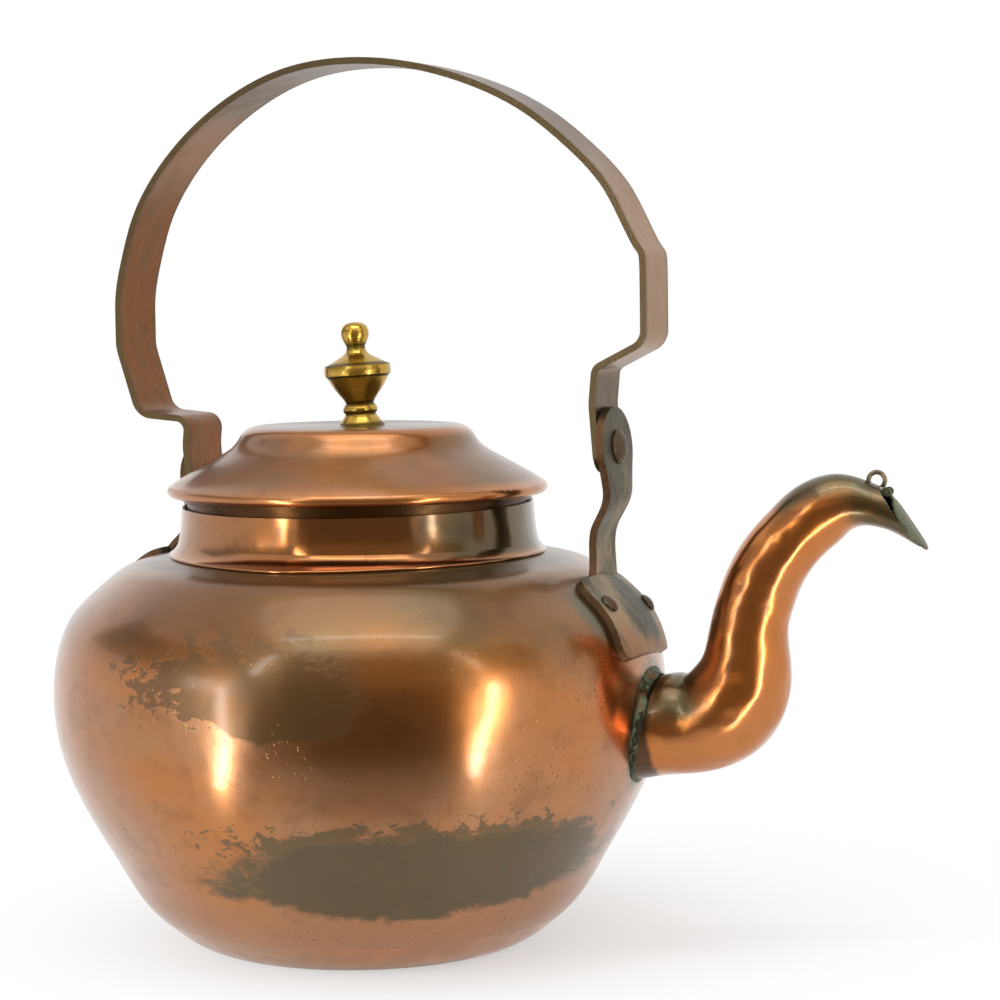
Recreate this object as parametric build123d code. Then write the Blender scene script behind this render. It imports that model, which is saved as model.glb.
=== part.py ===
from build123d import *
from math import atan, cos, degrees, radians, sin, tan
import os

# A hammered copper water kettle: a raised vessel with a soldered neck collar, a lift-off lid
# with a turned brass knob, an S-shaped spout with a hinged flap over its beak, and a flat
# strap bail that swings on two rivets held by ears on the shoulder.
# Millimetres. +X points along the spout, +Z is up, and the origin is the middle of the base.

# ---- vessel ----
SHEET = 1.3                 # copper wall of the vessel, neck and spout
BASE_RADIUS = 54.0          # flat that stands on the table
BELLY_RADIUS = 110.0
BELLY_HEIGHT = 88.0
SHOULDER_HEIGHT = 140.2     # where the shoulder meets the neck
PAN_HEIGHT = 12.0           # brazed seam between the base pan and the raised wall
# how far each point of the wall has come (outwards, upwards) from base circle to belly circle
LOWER_SHAPE = ((0.116, 0.018), (0.223, 0.057), (0.312, 0.102), (0.434, 0.176),
               (0.600, 0.341), (0.754, 0.511), (0.973, 0.852))
# how far each point has come (outwards, upwards) from neck root circle to belly circle's level
SHOULDER_SHAPE = ((0.953, 0.383), (0.844, 0.594), (0.721, 0.709), (0.565, 0.824),
                  (0.392, 0.924), (0.196, 0.967))

# ---- neck collar ----
NECK_ROOT_RADIUS = 66.2
NECK_RIM_RADIUS = 63.3
NECK_RIM_HEIGHT = 158.0
NECK_RIM_SLOPE = 1.0        # degrees that the hand-cut rim dips
NECK_RIM_DIP_AT = -105.0    # degrees round from the spout to the lowest point of the rim
NECK_FOOT = 1.5             # how far the collar's foot spreads over the shoulder

# ---- lid ----
LID_SHEET = 1.0
LID_HEIGHT = 22.6           # from the wire in the rim up to the flat top
LID_TOP_RADIUS = 36.0       # flat top, inside the roll of its edge
LID_RIM_OVERHANG = 5.0      # rim beyond the neck rim
LID_WIRE_RADIUS = 1.1
LID_RIM_DROP = 2.4          # bottom of the rim bead above the lid's seat
LID_SEAT_GAP = 0.1
# share of the way (outwards, downwards) from the flat top to the rim bead
LID_SHAPE = ((0.155, 0.10), (0.24, 0.285), (0.452, 0.52), (0.72, 0.745))
FLANGE_SHEET = 0.9
FLANGE_DEPTH = 10.0         # reach of the flange into the neck
FLANGE_GAP = 0.5            # between the flange and the inside of the neck rim's high side

# ---- knob ----
KNOB_LEAN = 3.5             # degrees, towards the back of the kettle
KNOB_OFFSET = 1.7           # foot's centre from the lid's centre
KNOB_FOOT_RADIUS = 8.3
KNOB_HEIGHT = 37.0
KNOB_BAND_RADIUS = 12.0
KNOB_BALL_RADIUS = 5.0
STUD_RADIUS = 2.2
KNOB_WASHER_RADIUS = 6.5
KNOB_WASHER_SHEET = 1.0

# ---- spout ----
SPOUT_HEIGHT = 81.5         # middle of the spout's root
# out from the wall, up from the root's middle, radius, heading in degrees, sideways spread
SPOUT_STATIONS = (
    (-12.0, 0.0, 18.6, 0, 1.0),
    (5.5, 0.1, 17.7, 0, 1.0),
    (16.0, 1.2, 17.5, 14, 1.0),
    (25.2, 5.3, 17.9, 38, 1.0),
    (31.4, 12.9, 17.4, 58, 1.0),
    (34.2, 22.8, 15.5, 76, 1.0),
    (34.7, 34.0, 13.6, 83, 1.0),
    (37.8, 46.0, 13.0, 72, 1.0),
    (43.2, 57.6, 12.5, 57, 1.0),
    (51.4, 67.8, 11.9, 47, 1.0),
    (59.2, 74.6, 11.8, 35, 1.0),
    (67.4, 78.2, 10.3, 10, 1.02),
    (78.0, 77.5, 7.2, -22, 1.1),
    (87.3, 74.6, 6.3, -26, 1.2),
    (93.5, 68.9, 4.2, -27, 1.2),
    (97.3, 64.3, 1.4, -27, 1.2),
)
TIP_BORE_RADIUS = 0.5       # the bore closes to this at the tip of the beak
MOUTH_TOP = (82.2, 81.3)    # upper end of the mouth: out from the wall, up from the root
MOUTH_ANGLE = 55.5          # degrees that the mouth slopes down towards the tip
MOUTH_LENGTH = 22.9
RING_RADIUS = 2.8           # eye on top of the beak, to the middle of its wire
RING_WIRE_RADIUS = 0.8
RING_AT = (79.3, 86.2)      # out from the wall, up from the root

# ---- spout flap ----
FLAP_SHEET = 0.8
FLAP_GAP = 0.3              # between the flap's edge and the mouth
FLAP_HALF_WIDTH = 7.4
FLAP_CROWN_RADIUS = 38.0    # the leaf is dished to this radius across its width
FLAP_TAB_HALF_WIDTH = 1.4
HINGE_STANDOFF = 1.5        # hinge axis from the upper end of the mouth
HINGE_PIN_RADIUS = 0.5
HINGE_PLAY = 0.06
KNUCKLE_RADIUS = 1.15
LUG_SHEET = 1.0
LUG_RADIUS = 1.5
LUG_GAP = 0.25

# ---- ears and bail ----
BAIL_TURN = -5.0            # degrees that the line through the pivots is turned from the spout
BAIL_OFFSET = 13.5          # that line passes this far behind the vessel's axis
FRONT_PIVOT_HEIGHT = 178.3
REAR_PIVOT_HEIGHT = 165.0   # the rear ear is the shorter one, so the pivot line slopes
PIVOT_RADIUS = 3.0
PIVOT_PLAY = 0.08
EAR_SHEET = 2.8
FRONT_HEAD_RADIUS = 14.0    # round head of the front ear
REAR_HEAD_RADIUS = 10.8
EAR_WAIST = 18.6            # width of an ear half way up
FRONT_WAIST_HEIGHT = 150.0
REAR_WAIST_HEIGHT = 146.5
FRONT_REACH = 95.4          # outer face of the front ear's head along the pivot line
REAR_REACH = 75.2           # and of the rear ear's, the other way
FRONT_WAIST_REACH = 91.4
REAR_WAIST_REACH = 75.4
FRONT_FOOT_REACH = 90.6     # outer face where the ear is folded onto the shoulder
REAR_FOOT_REACH = 82.0
PLATE_LENGTH = 30.0         # of the foot plate down the shoulder
PLATE_FLARE = 8.0           # a foot plate is this much narrower at its fold
FRONT_PLATE_WIDTH = 52.0
REAR_PLATE_WIDTH = 42.0
FRONT_PLATE_SHIFT = -5.0    # the front plate stands off to the kettle's right
REAR_PLATE_SHIFT = 0.0
PLATE_SHEET = 2.6
PLATE_BED = 0.02            # between a foot plate and the shoulder it is riveted to
RIVET_INSET = 8.5           # from the plate's side edges to its two rivets
RIVET_DOWN = 14.0           # from the fold down the plate to the rivets
RIVET_LIFT = 0.18           # under the heads, where the sheet isn't quite flat
RIVET_RADIUS = 1.8
RIVET_HEAD_RADIUS = 3.4
RIVET_HEAD_HEIGHT = 1.7
RIVET_TAIL_RADIUS = 3.0
RIVET_FIT = 0.05            # radial room round a rivet in its own body
PIVOT_HEAD_RADIUS = 6.0
PIVOT_HEAD_HEIGHT = 3.0
PIVOT_TAIL_RADIUS = 4.6
PIVOT_TAIL_HEIGHT = 1.0
STRAP_REAR_WIDTH = 25.2     # at the back, tapering evenly to the width in front
STRAP_FRONT_WIDTH = 21.6
STRAP_SHEET = 2.4
STRAP_GAP = 0.3             # between the strap and the ear or rivet tail beside it
STRAP_END = 9.0             # strap below the pivot
HEAD_CLEARANCE = 1.5        # straight strap past the ear's head
STRAP_CORNER = 7.0
BAIL_TOP = 317.2
BAIL_CROWN_AT = -3.0        # the arch's highest point along the pivot line
BAIL_REAR = 100.7           # outermost reach of the arch behind the body's axis
BAIL_FRONT = 110.5          # and in front of it
BAIL_SPRING_HEIGHT = 228.0  # where the arch turns into its legs
FRONT_JOG_HEIGHT = 206.0    # inner corner of the front jog
FRONT_JOG_RISE = 9.0
REAR_JOG_HEIGHT = 187.2
REAR_JOG_RISE = 1.8
REAR_LEG_LEAN = 8.0         # how far the rear leg has come in at its jog
# shares of the reach and of the rise of the arch, from its legs up to its crown
REAR_ARCH_SHAPE = ((0.968, 0.206), (0.911, 0.392), (0.846, 0.515), (0.702, 0.695),
                   (0.480, 0.870), (0.279, 0.962))
FRONT_ARCH_SHAPE = ((0.979, 0.231), (0.930, 0.350), (0.877, 0.470), (0.742, 0.650),
                    (0.615, 0.775), (0.404, 0.905), (0.220, 0.971))

FAR = 400.0                 # longer than the kettle, for cutting blocks


# ---- helpers ----
def parallel(curve, distance, count=30):
    """A spline that runs beside a curve, at a distance to the right of its direction."""
    points = []
    for step in range(count + 1):
        place = curve.position_at(step / count)
        heading = curve.tangent_at(step / count)
        points.append((place.X + distance * heading.Y, place.Y - distance * heading.X))
    first, last = curve.tangent_at(0), curve.tangent_at(1)
    return Spline(*points, tangents=[(first.X, first.Y), (last.X, last.Y)],
                  tangent_scalars=[1, 1])


def solve(measure, wanted, low, high):
    """The value between low and high at which a rising measure reaches the wanted one."""
    for _ in range(50):
        middle = (low + high) / 2
        if measure(middle) < wanted:
            low = middle
        else:
            high = middle
    return (low + high) / 2


def turned(sketch):
    """A sketch of radius and height, turned round the vessel's axis."""
    return revolve(Plane.XZ * sketch, axis=Axis.Z)


def domed(radius, height):
    """A rivet head: a ball's cap standing on the XY plane, with a short upright rim."""
    rim = height * 0.25
    ball = (radius ** 2 + (height - rim) ** 2) / (2 * (height - rim))
    middle = (radius / 2, height - ball + (ball ** 2 - radius ** 2 / 4) ** 0.5)
    crown = ThreePointArc((radius, rim), middle, (0, height))
    outline = Polyline((0, 0), (radius, 0), (radius, rim)) + crown + Line((0, height), (0, 0))
    return revolve(Plane.XZ * make_face(outline), axis=Axis.Z)


def save(name, shape):
    """Writes one piece to its own file."""
    export_step(shape, f"parts/{name}.step")


# ---- vessel ----
def vessel_curve():
    """Outer outline of the vessel, from the edge of the flat base up to the neck's root."""
    points = [(BASE_RADIUS, 0)]
    for out, up in LOWER_SHAPE:
        points.append((BASE_RADIUS + out * (BELLY_RADIUS - BASE_RADIUS), up * BELLY_HEIGHT))
    points.append((BELLY_RADIUS, BELLY_HEIGHT))
    rise = SHOULDER_HEIGHT - BELLY_HEIGHT
    for out, up in SHOULDER_SHAPE:
        radius = NECK_ROOT_RADIUS + out * (BELLY_RADIUS - NECK_ROOT_RADIUS)
        points.append((radius, BELLY_HEIGHT + up * rise))
    points.append((NECK_ROOT_RADIUS, SHOULDER_HEIGHT))
    return Spline(*points, tangents=[(1, 0.05), (-1, 0.2)], tangent_scalars=[1, 1])


VESSEL = vessel_curve()


def vessel_radius(height):
    """Outer radius of the vessel at a height."""
    share = solve(lambda part: VESSEL.position_at(part).Y, height, 0, 1)
    return VESSEL.position_at(share).X


def shoulder_share(radius):
    """How far along the outline the shoulder has come in to a radius."""
    belly = solve(lambda part: VESSEL.position_at(part).Y, BELLY_HEIGHT, 0, 1)
    return solve(lambda part: -VESSEL.position_at(part).X, -radius, belly, 1)


def vessel_region(grow=0.0):
    """Half section of everything inside the vessel's outer face, or inside a face grown by a
    distance, which is carried on level over the neck's root."""
    edge = parallel(VESSEL, grow) if grow else VESSEL
    low, high = edge.position_at(0), edge.position_at(1)
    rest = Polyline((high.X, high.Y), (0, high.Y), (0, low.Y), (low.X, low.Y))
    return make_face(edge + rest)


def wall_section():
    """Half section of the vessel's sheet, base included."""
    inner = parallel(VESSEL, -SHEET)
    low, high = inner.position_at(0), inner.position_at(1)
    end = VESSEL.position_at(1)
    base = Polyline((BASE_RADIUS, 0), (0, 0), (0, low.Y), (low.X, low.Y))
    lip = Line((end.X, end.Y), (high.X, high.Y))
    return make_face(VESSEL + lip + inner + base)


def band(low, high):
    """A level band of the half section plane."""
    return Pos(FAR / 2, (low + high) / 2) * Rectangle(FAR, high - low)


def base_pan():
    """The shallow pan that closes the bottom."""
    return turned(wall_section() & band(-1, PAN_HEIGHT))


def body_shell():
    """The raised wall, with the spout's bore and the rivet holes of both ears."""
    shell = turned(wall_section() & band(PAN_HEIGHT, SHOULDER_HEIGHT + 1))
    bore = Pos(BELLY_RADIUS, 0, SPOUT_HEIGHT) * Rot(0, 90, 0) * Cylinder(
        SPOUT_STATIONS[1][2] - SHEET, BELLY_RADIUS * 0.6)
    shell -= bore
    for side in (FRONT, REAR):
        shell -= rivet_holes(side)
    return shell


NECK_LEAN = (NECK_ROOT_RADIUS - NECK_RIM_RADIUS) / (NECK_RIM_HEIGHT - SHOULDER_HEIGHT)


def neck_collar():
    """The upright collar: its foot lies on the shoulder, and its rim is cut a little askew."""
    rise = NECK_RIM_HEIGHT + 3 - SHOULDER_HEIGHT
    top = (NECK_RIM_RADIUS - 3 * NECK_LEAN, SHOULDER_HEIGHT + rise)
    foot = (NECK_ROOT_RADIUS + NECK_FOOT, SHOULDER_HEIGHT - 3)
    waist = (NECK_ROOT_RADIUS - 0.28 * NECK_FOOT - 3 * NECK_LEAN, SHOULDER_HEIGHT + 3)
    outer = Spline(foot, waist, top, tangents=[(-0.25, 1), (-NECK_LEAN, 1)])
    section = make_face(outer + Polyline(top, (top[0] - SHEET, top[1]),
                                         (foot[0] - SHEET - NECK_FOOT, foot[1]), foot))
    collar = turned(section - vessel_region())
    dip = Rot(0, 0, NECK_RIM_DIP_AT) * Rot(0, NECK_RIM_SLOPE, 0)
    return collar - Pos(0, 0, NECK_RIM_HEIGHT) * dip * Pos(0, 0, FAR / 2) * Box(FAR, FAR, FAR)


# ---- lid ----
SEAT = NECK_RIM_HEIGHT + NECK_RIM_RADIUS * tan(radians(NECK_RIM_SLOPE)) + LID_SEAT_GAP
BEAD_RADIUS = LID_WIRE_RADIUS + LID_SHEET
BEAD_AT = (NECK_RIM_RADIUS + LID_RIM_OVERHANG - BEAD_RADIUS, SEAT + LID_RIM_DROP - 0.5 + BEAD_RADIUS)
LID_TOP = BEAD_AT[1] + LID_HEIGHT


def lid_curve():
    """Outer outline of the lid's slope, from the flat top, over its rolled edge and down onto
    the bead."""
    end = (BEAD_AT[0] + BEAD_RADIUS * sin(radians(35)), BEAD_AT[1] + BEAD_RADIUS * cos(radians(35)))
    points = [(LID_TOP_RADIUS, LID_TOP)]
    for out, down in LID_SHAPE:
        radius = LID_TOP_RADIUS + out * (end[0] - LID_TOP_RADIUS)
        points.append((radius, LID_TOP - down * (LID_TOP - end[1])))
    points.append(end)
    return Spline(*points, tangents=[(1, 0), (1, -0.70)], tangent_scalars=[1, 1])


def lid_shell():
    """The lid's sheet, turned round the wire at its rim, with a hole for the knob's stud."""
    outer = lid_curve()
    inner = parallel(outer, LID_SHEET)
    inside, edge = inner.position_at(0), inner.position_at(1)
    end = outer.position_at(1)
    top = Polyline((LID_TOP_RADIUS, LID_TOP), (0, LID_TOP), (0, inside.Y), (inside.X, inside.Y))
    sheet = make_face(outer + Line((end.X, end.Y), (edge.X, edge.Y)) + inner + top)
    bead = Pos(*BEAD_AT) * (Circle(BEAD_RADIUS) - Circle(LID_WIRE_RADIUS))
    under = Pos(*BEAD_AT) * Rot(0, 0, 145) * Pos(FAR / 20, 0) * Rectangle(FAR / 10, BEAD_RADIUS * 0.9)
    hollow = Pos(*BEAD_AT) * Circle(LID_WIRE_RADIUS)
    shell = turned((sheet - hollow) + (bead - under))
    return shell - Pos(KNOB_OFFSET, 0, LID_TOP) * Cylinder(STUD_RADIUS + RIVET_FIT, 10)


def lid_rim_wire():
    """The wire inside the rolled rim."""
    return turned(Pos(*BEAD_AT) * Circle(LID_WIRE_RADIUS - RIVET_FIT))


def lid_flange():
    """The dark collar under the lid: a shoulder that sits on the neck's rim, and a thinner
    sleeve that enters it."""
    inside = NECK_RIM_RADIUS - SHEET - NECK_LEAN * (SEAT - NECK_RIM_HEIGHT)
    sleeve = inside - FLANGE_GAP
    seat = inside + SHEET * 0.6
    top = LID_TOP
    outline = Polyline((sleeve - FLANGE_SHEET, SEAT - FLANGE_DEPTH), (sleeve, SEAT - FLANGE_DEPTH),
                       (sleeve, SEAT), (seat, SEAT), (seat, top), (sleeve - FLANGE_SHEET, top),
                       close=True)
    cover = parallel(lid_curve(), LID_SHEET)
    low, high = cover.position_at(1), cover.position_at(0)
    above = make_face(cover + Polyline((low.X, low.Y), (FAR, low.Y), (FAR, FAR), (0, FAR),
                                       (0, high.Y), (high.X, high.Y)))
    return turned(make_face(outline) - above)


def knob_outline():
    """Half outline of the knob from its foot up: foot, groove, bead, goblet, band and ball."""
    up = KNOB_HEIGHT / 37.0
    foot = Spline((KNOB_FOOT_RADIUS, 0), (6.3, 2.8 * up), (5.4, 4.2 * up),
                  tangents=[(-1, 0.6), (-0.2, 1)])
    bead = Spline((5.4, 4.2 * up), (6.2, 5.9 * up), (4.9, 7.9 * up),
                  tangents=[(1, 0.6), (-0.8, 1)])
    goblet = Spline((4.9, 7.9 * up), (7.9, 12.2 * up), (KNOB_BAND_RADIUS - 1.0, 17.4 * up),
                    tangents=[(0.5, 1), (0.45, 1)])
    band_low = Line((KNOB_BAND_RADIUS - 1.0, 17.4 * up), (KNOB_BAND_RADIUS - 0.2, 18.0 * up))
    band_side = Spline((KNOB_BAND_RADIUS - 0.2, 18.0 * up), (KNOB_BAND_RADIUS, 19.8 * up),
                       (KNOB_BAND_RADIUS - 0.3, 21.6 * up), tangents=[(0.2, 1), (-0.25, 1)])
    flare = Spline((KNOB_BAND_RADIUS - 0.3, 21.6 * up), (7.6, 23.7 * up), (4.4, 25.6 * up),
                   (3.3, 28.4 * up), tangents=[(-1, 0.25), (0, 1)])
    ball_height = KNOB_HEIGHT - KNOB_BALL_RADIUS * 0.88
    ball = Spline((3.3, 28.4 * up), (KNOB_BALL_RADIUS, ball_height), (0, KNOB_HEIGHT),
                  tangents=[(0.6, 1), (-1, 0)])
    return foot, bead, goblet, band_low, band_side, flare, ball


def lid_knob():
    """The brass knob and its stud, peened over under the lid."""
    stub = Polyline((0, KNOB_HEIGHT), (0, -3), (KNOB_FOOT_RADIUS + 1.2, -3), (KNOB_FOOT_RADIUS, 0))
    pieces = stub
    for edge in knob_outline():
        pieces += edge
    knob = Pos(KNOB_OFFSET, 0, LID_TOP) * Rot(0, -KNOB_LEAN, 0) * revolve(
        Plane.XZ * make_face(pieces), axis=Axis.Z)
    knob &= Pos(0, 0, LID_TOP + FAR / 2) * Box(FAR, FAR, FAR)
    reach = LID_SHEET + KNOB_WASHER_SHEET
    stud = Pos(KNOB_OFFSET, 0, LID_TOP - reach / 2 + 1) * Cylinder(STUD_RADIUS, reach + 2)
    tail = Pos(KNOB_OFFSET, 0, LID_TOP - reach) * Rot(180, 0, 0) * domed(STUD_RADIUS * 1.6, 1.5)
    return knob + stud + tail


def knob_washer():
    """The copper washer that the knob's stud is peened over."""
    ring = Cylinder(KNOB_WASHER_RADIUS, KNOB_WASHER_SHEET) - Cylinder(STUD_RADIUS + RIVET_FIT, 5)
    return Pos(KNOB_OFFSET, 0, LID_TOP - LID_SHEET - KNOB_WASHER_SHEET / 2) * ring


# ---- spout ----
ROOT_AT = vessel_radius(SPOUT_HEIGHT)


def beside_wall(out, up):
    """A point in the spout's upright plane, from the middle of its root."""
    return ROOT_AT + out, SPOUT_HEIGHT + up


def spout_solid(thinner=0.0):
    """The spout's tube as one solid, through all its stations."""
    sections = []
    for out, up, radius, heading, spread in SPOUT_STATIONS:
        across, height = beside_wall(out, up)
        ahead = (cos(radians(heading)), 0, sin(radians(heading)))
        level = max(radius - thinner, TIP_BORE_RADIUS)
        place = Plane(origin=(across, 0, height), x_dir=(0, 1, 0), z_dir=ahead)
        sections.append(place * Ellipse(level * spread, level))
    return loft(sections)


def mouth_plane():
    """The plane of the mouth: its origin is the upper end, X runs down to the tip of the beak
    and Z points out of the mouth."""
    across, height = beside_wall(*MOUTH_TOP)
    slope = radians(MOUTH_ANGLE)
    return Plane(origin=(across, 0, height), x_dir=(cos(slope), 0, -sin(slope)),
                 z_dir=(sin(slope), 0, cos(slope)))


def beyond_mouth():
    """Everything on the outer side of the mouth's plane."""
    return mouth_plane() * Pos(0, 0, FAR / 2) * Box(FAR, FAR, FAR)


def spout_tube():
    """The tapering tube, cut to the wall at its root and slantwise at its mouth."""
    return spout_solid() - turned(vessel_region()) - beyond_mouth() - spout_solid(SHEET)


def spout_ring():
    """The wire eye that stands on the beak, soldered by both feet."""
    across, height = beside_wall(*RING_AT)
    ring = Pos(across, 0, height) * Rot(90, 0, 0) * Torus(RING_RADIUS, RING_WIRE_RADIUS)
    return ring - spout_solid()


def hinge_frame():
    """A frame on the flap's hinge: X runs down the mouth, Y along the pin, Z out of it."""
    lift = radians(0.5 * MOUTH_ANGLE + 12)
    place = mouth_plane()
    return Plane(origin=place.origin + Vector(sin(lift), 0, cos(lift)) * HINGE_STANDOFF,
                 x_dir=place.x_dir, z_dir=place.z_dir)


def along_pin(radius, length):
    """A cylinder along the hinge pin."""
    return hinge_frame() * Rot(90, 0, 0) * Cylinder(radius, length)


def flap_lugs():
    """The two cheeks soldered to the beak that carry the hinge pin."""
    middle = FLAP_TAB_HALF_WIDTH + LUG_GAP + LUG_SHEET / 2
    beak = spout_solid() - beyond_mouth()
    cheeks = []
    for side in (-1, 1):
        cheek = Rot(90, 0, 0) * Cylinder(LUG_RADIUS, LUG_SHEET)
        cheek += Pos(-0.6 * LUG_RADIUS, 0, -LUG_RADIUS) * Box(1.2 * LUG_RADIUS, LUG_SHEET,
                                                              2 * LUG_RADIUS)
        cheek = hinge_frame() * Pos(0, side * middle, 0) * cheek
        cheeks.append(cheek - beak - along_pin(HINGE_PIN_RADIUS + RIVET_FIT, 20))
    return Compound(children=[cheek.solid() for cheek in cheeks])


def flap_pin():
    """The hinge wire, held by the lugs."""
    return along_pin(HINGE_PIN_RADIUS, 2 * (FLAP_TAB_HALF_WIDTH + LUG_GAP + LUG_SHEET + 0.4))


def spout_flap():
    """The leaf-shaped flap: a dished leaf over the mouth, a tab and a rolled knuckle."""
    tip = (MOUTH_LENGTH + FLAP_GAP, 0)
    start = 2.6
    sides = []
    for side in (-1, 1):
        sides.append(ThreePointArc((start, side * FLAP_TAB_HALF_WIDTH),
                                   (MOUTH_LENGTH * 0.44, side * FLAP_HALF_WIDTH), tip))
    leaf_outline = make_face(sides[0] + sides[1] + Line((start, -FLAP_TAB_HALF_WIDTH),
                                                        (start, FLAP_TAB_HALF_WIDTH)))
    sag = FLAP_CROWN_RADIUS - (FLAP_CROWN_RADIUS ** 2 - FLAP_HALF_WIDTH ** 2) ** 0.5
    centre = FLAP_GAP + sag - FLAP_CROWN_RADIUS
    dish = Cylinder(FLAP_CROWN_RADIUS + FLAP_SHEET, 80) - Cylinder(FLAP_CROWN_RADIUS, 80)
    leaf = extrude(leaf_outline, 6) & Pos(0, 0, centre) * Rot(0, 90, 0) * dish
    leaf = mouth_plane() * leaf
    crown = FLAP_GAP + sag
    axis_height = (hinge_frame().origin - mouth_plane().origin).dot(mouth_plane().z_dir)
    axis_along = (hinge_frame().origin - mouth_plane().origin).dot(mouth_plane().x_dir)
    tab_length = start + 1 - axis_along
    rise = (crown + FLAP_SHEET / 2) - axis_height
    slope = degrees(atan(rise / tab_length))
    tab = hinge_frame() * Rot(0, -slope, 0) * Pos(tab_length / 2, 0, 0) * Box(
        tab_length, 2 * FLAP_TAB_HALF_WIDTH, FLAP_SHEET)
    knuckle = along_pin(KNUCKLE_RADIUS, 2 * FLAP_TAB_HALF_WIDTH)
    return leaf + tab + knuckle - along_pin(HINGE_PIN_RADIUS + HINGE_PLAY, 20)


# ---- ears and bail ----
FRONT, REAR = 1, -1
REACH = {FRONT: FRONT_REACH, REAR: REAR_REACH}
WAIST_REACH = {FRONT: FRONT_WAIST_REACH, REAR: REAR_WAIST_REACH}
FOOT_REACH = {FRONT: FRONT_FOOT_REACH, REAR: REAR_FOOT_REACH}
WAIST_HEIGHT = {FRONT: FRONT_WAIST_HEIGHT, REAR: REAR_WAIST_HEIGHT}
HEAD_RADIUS = {FRONT: FRONT_HEAD_RADIUS, REAR: REAR_HEAD_RADIUS}
PIVOT_HEIGHT = {FRONT: FRONT_PIVOT_HEIGHT, REAR: REAR_PIVOT_HEIGHT}
PLATE_WIDTH = {FRONT: FRONT_PLATE_WIDTH, REAR: REAR_PLATE_WIDTH}
PLATE_SHIFT = {FRONT: FRONT_PLATE_SHIFT, REAR: REAR_PLATE_SHIFT}
PIVOT_SLOPE = atan((FRONT_PIVOT_HEIGHT - REAR_PIVOT_HEIGHT) / (FRONT_REACH + REAR_REACH))


def on_bail_line(shape):
    """Takes a shape from the bail's own frame, X along the pivots, to its place."""
    return Rot(0, 0, BAIL_TURN) * Pos(0, BAIL_OFFSET, 0) * shape


def on_pivot(side, shape):
    """Takes a shape from a pivot's frame, X along the pivot line towards the front and the
    origin on the ear's outer face, to its place."""
    spot = Pos(side * REACH[side], 0, PIVOT_HEIGHT[side])
    return on_bail_line(spot * Rot(0, -degrees(PIVOT_SLOPE), 0) * shape)


def plate_plane(side):
    """A plane on the shoulder at the ear's fold: X runs down the shoulder, Z points off it."""
    reach = FOOT_REACH[side]
    share = shoulder_share((reach ** 2 + BAIL_OFFSET ** 2) ** 0.5)
    place = VESSEL.position_at(share)
    lower = VESSEL.position_at(shoulder_share(min(place.X + PLATE_LENGTH * 0.55,
                                                  BELLY_RADIUS - 2)))
    run = Vector(lower.X - place.X, 0, lower.Y - place.Y).normalized()
    return Plane(origin=(side * reach, 0, place.Y), x_dir=(side * run.X, 0, run.Z),
                 z_dir=(-side * run.Z, 0, run.X))


def rivet_places(side):
    """Planes at the two rivets of a foot plate, square to the sheet, on its outer face."""
    places = []
    reach = PLATE_WIDTH[side] / 2 - RIVET_INSET
    for across in (-reach, reach):
        start = plate_plane(side).origin + plate_plane(side).x_dir * RIVET_DOWN
        spot = Vector(start.X, across + PLATE_SHIFT[side] + BAIL_OFFSET, 0)
        share = shoulder_share(min(spot.length, BELLY_RADIUS - 1))
        place, heading = VESSEL.position_at(share), VESSEL.tangent_at(share)
        out = spot.normalized()
        normal = Vector(out.X * heading.Y, out.Y * heading.Y, -heading.X)
        seat = Vector(out.X * place.X, out.Y * place.X - BAIL_OFFSET, place.Y)
        places.append(Plane(origin=seat + normal * (PLATE_SHEET + RIVET_LIFT), z_dir=normal))
    return places


def rivet_holes(side):
    """Cutters for the rivets of one ear."""
    cutters = [place * Cylinder(RIVET_RADIUS + RIVET_FIT, 16) for place in rivet_places(side)]
    return on_bail_line(cutters[0] + cutters[1])


def ear_blade(side):
    """The upright part of an ear: a bent strip, cut to its round head and narrow waist. The
    head stands square to the pivot line."""
    radius, pivot, waist_height = HEAD_RADIUS[side], PIVOT_HEIGHT[side], WAIST_HEIGHT[side]
    lean = -side * tan(PIVOT_SLOPE)
    across = EAR_SHEET / cos(PIVOT_SLOPE)
    foot = plate_plane(side).origin.Z
    low = foot - 8
    top = (REACH[side] + lean * (radius + 1), pivot + radius + 1)
    bend = (REACH[side] - lean * radius, pivot - radius)
    ankle = (FOOT_REACH[side], foot + PLATE_SHEET)
    face = Spline(bend, (WAIST_REACH[side], waist_height), ankle,
                  tangents=[(-lean, -1), (0.9 * (FOOT_REACH[side] - WAIST_REACH[side]) / 10, -1)])
    back = Pos(-across, 0) * face
    outline = (Line(top, bend) + face
               + Polyline(ankle, (ankle[0], low), (ankle[0] - across, low),
                          (ankle[0] - across, ankle[1]))
               + back + Polyline((bend[0] - across, bend[1]), (top[0] - across, top[1]), top))
    strip = extrude(Plane.XZ * make_face(outline), radius + 2, both=True)
    if side == REAR:
        strip = mirror(strip, about=Plane.YZ)
    waist = EAR_WAIST / 2
    cheek = (radius * 0.95, pivot - (radius ** 2 - (radius * 0.95) ** 2) ** 0.5)
    front = ThreePointArc((-cheek[0], cheek[1]), (0, pivot + radius), cheek)
    for end in (-1, 1):
        front += Spline((end * cheek[0], cheek[1]), (end * waist, waist_height),
                        (end * (waist + 0.8), ankle[1]),
                        tangents=[(-end * 0.33, -1), (end * 0.25, -1)])
    front += Polyline((-waist - 0.8, ankle[1]), (-waist - 0.8, low), (waist + 0.8, low),
                      (waist + 0.8, ankle[1]))
    return strip & extrude(Plane.YZ * make_face(front), FAR, both=True)


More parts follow.
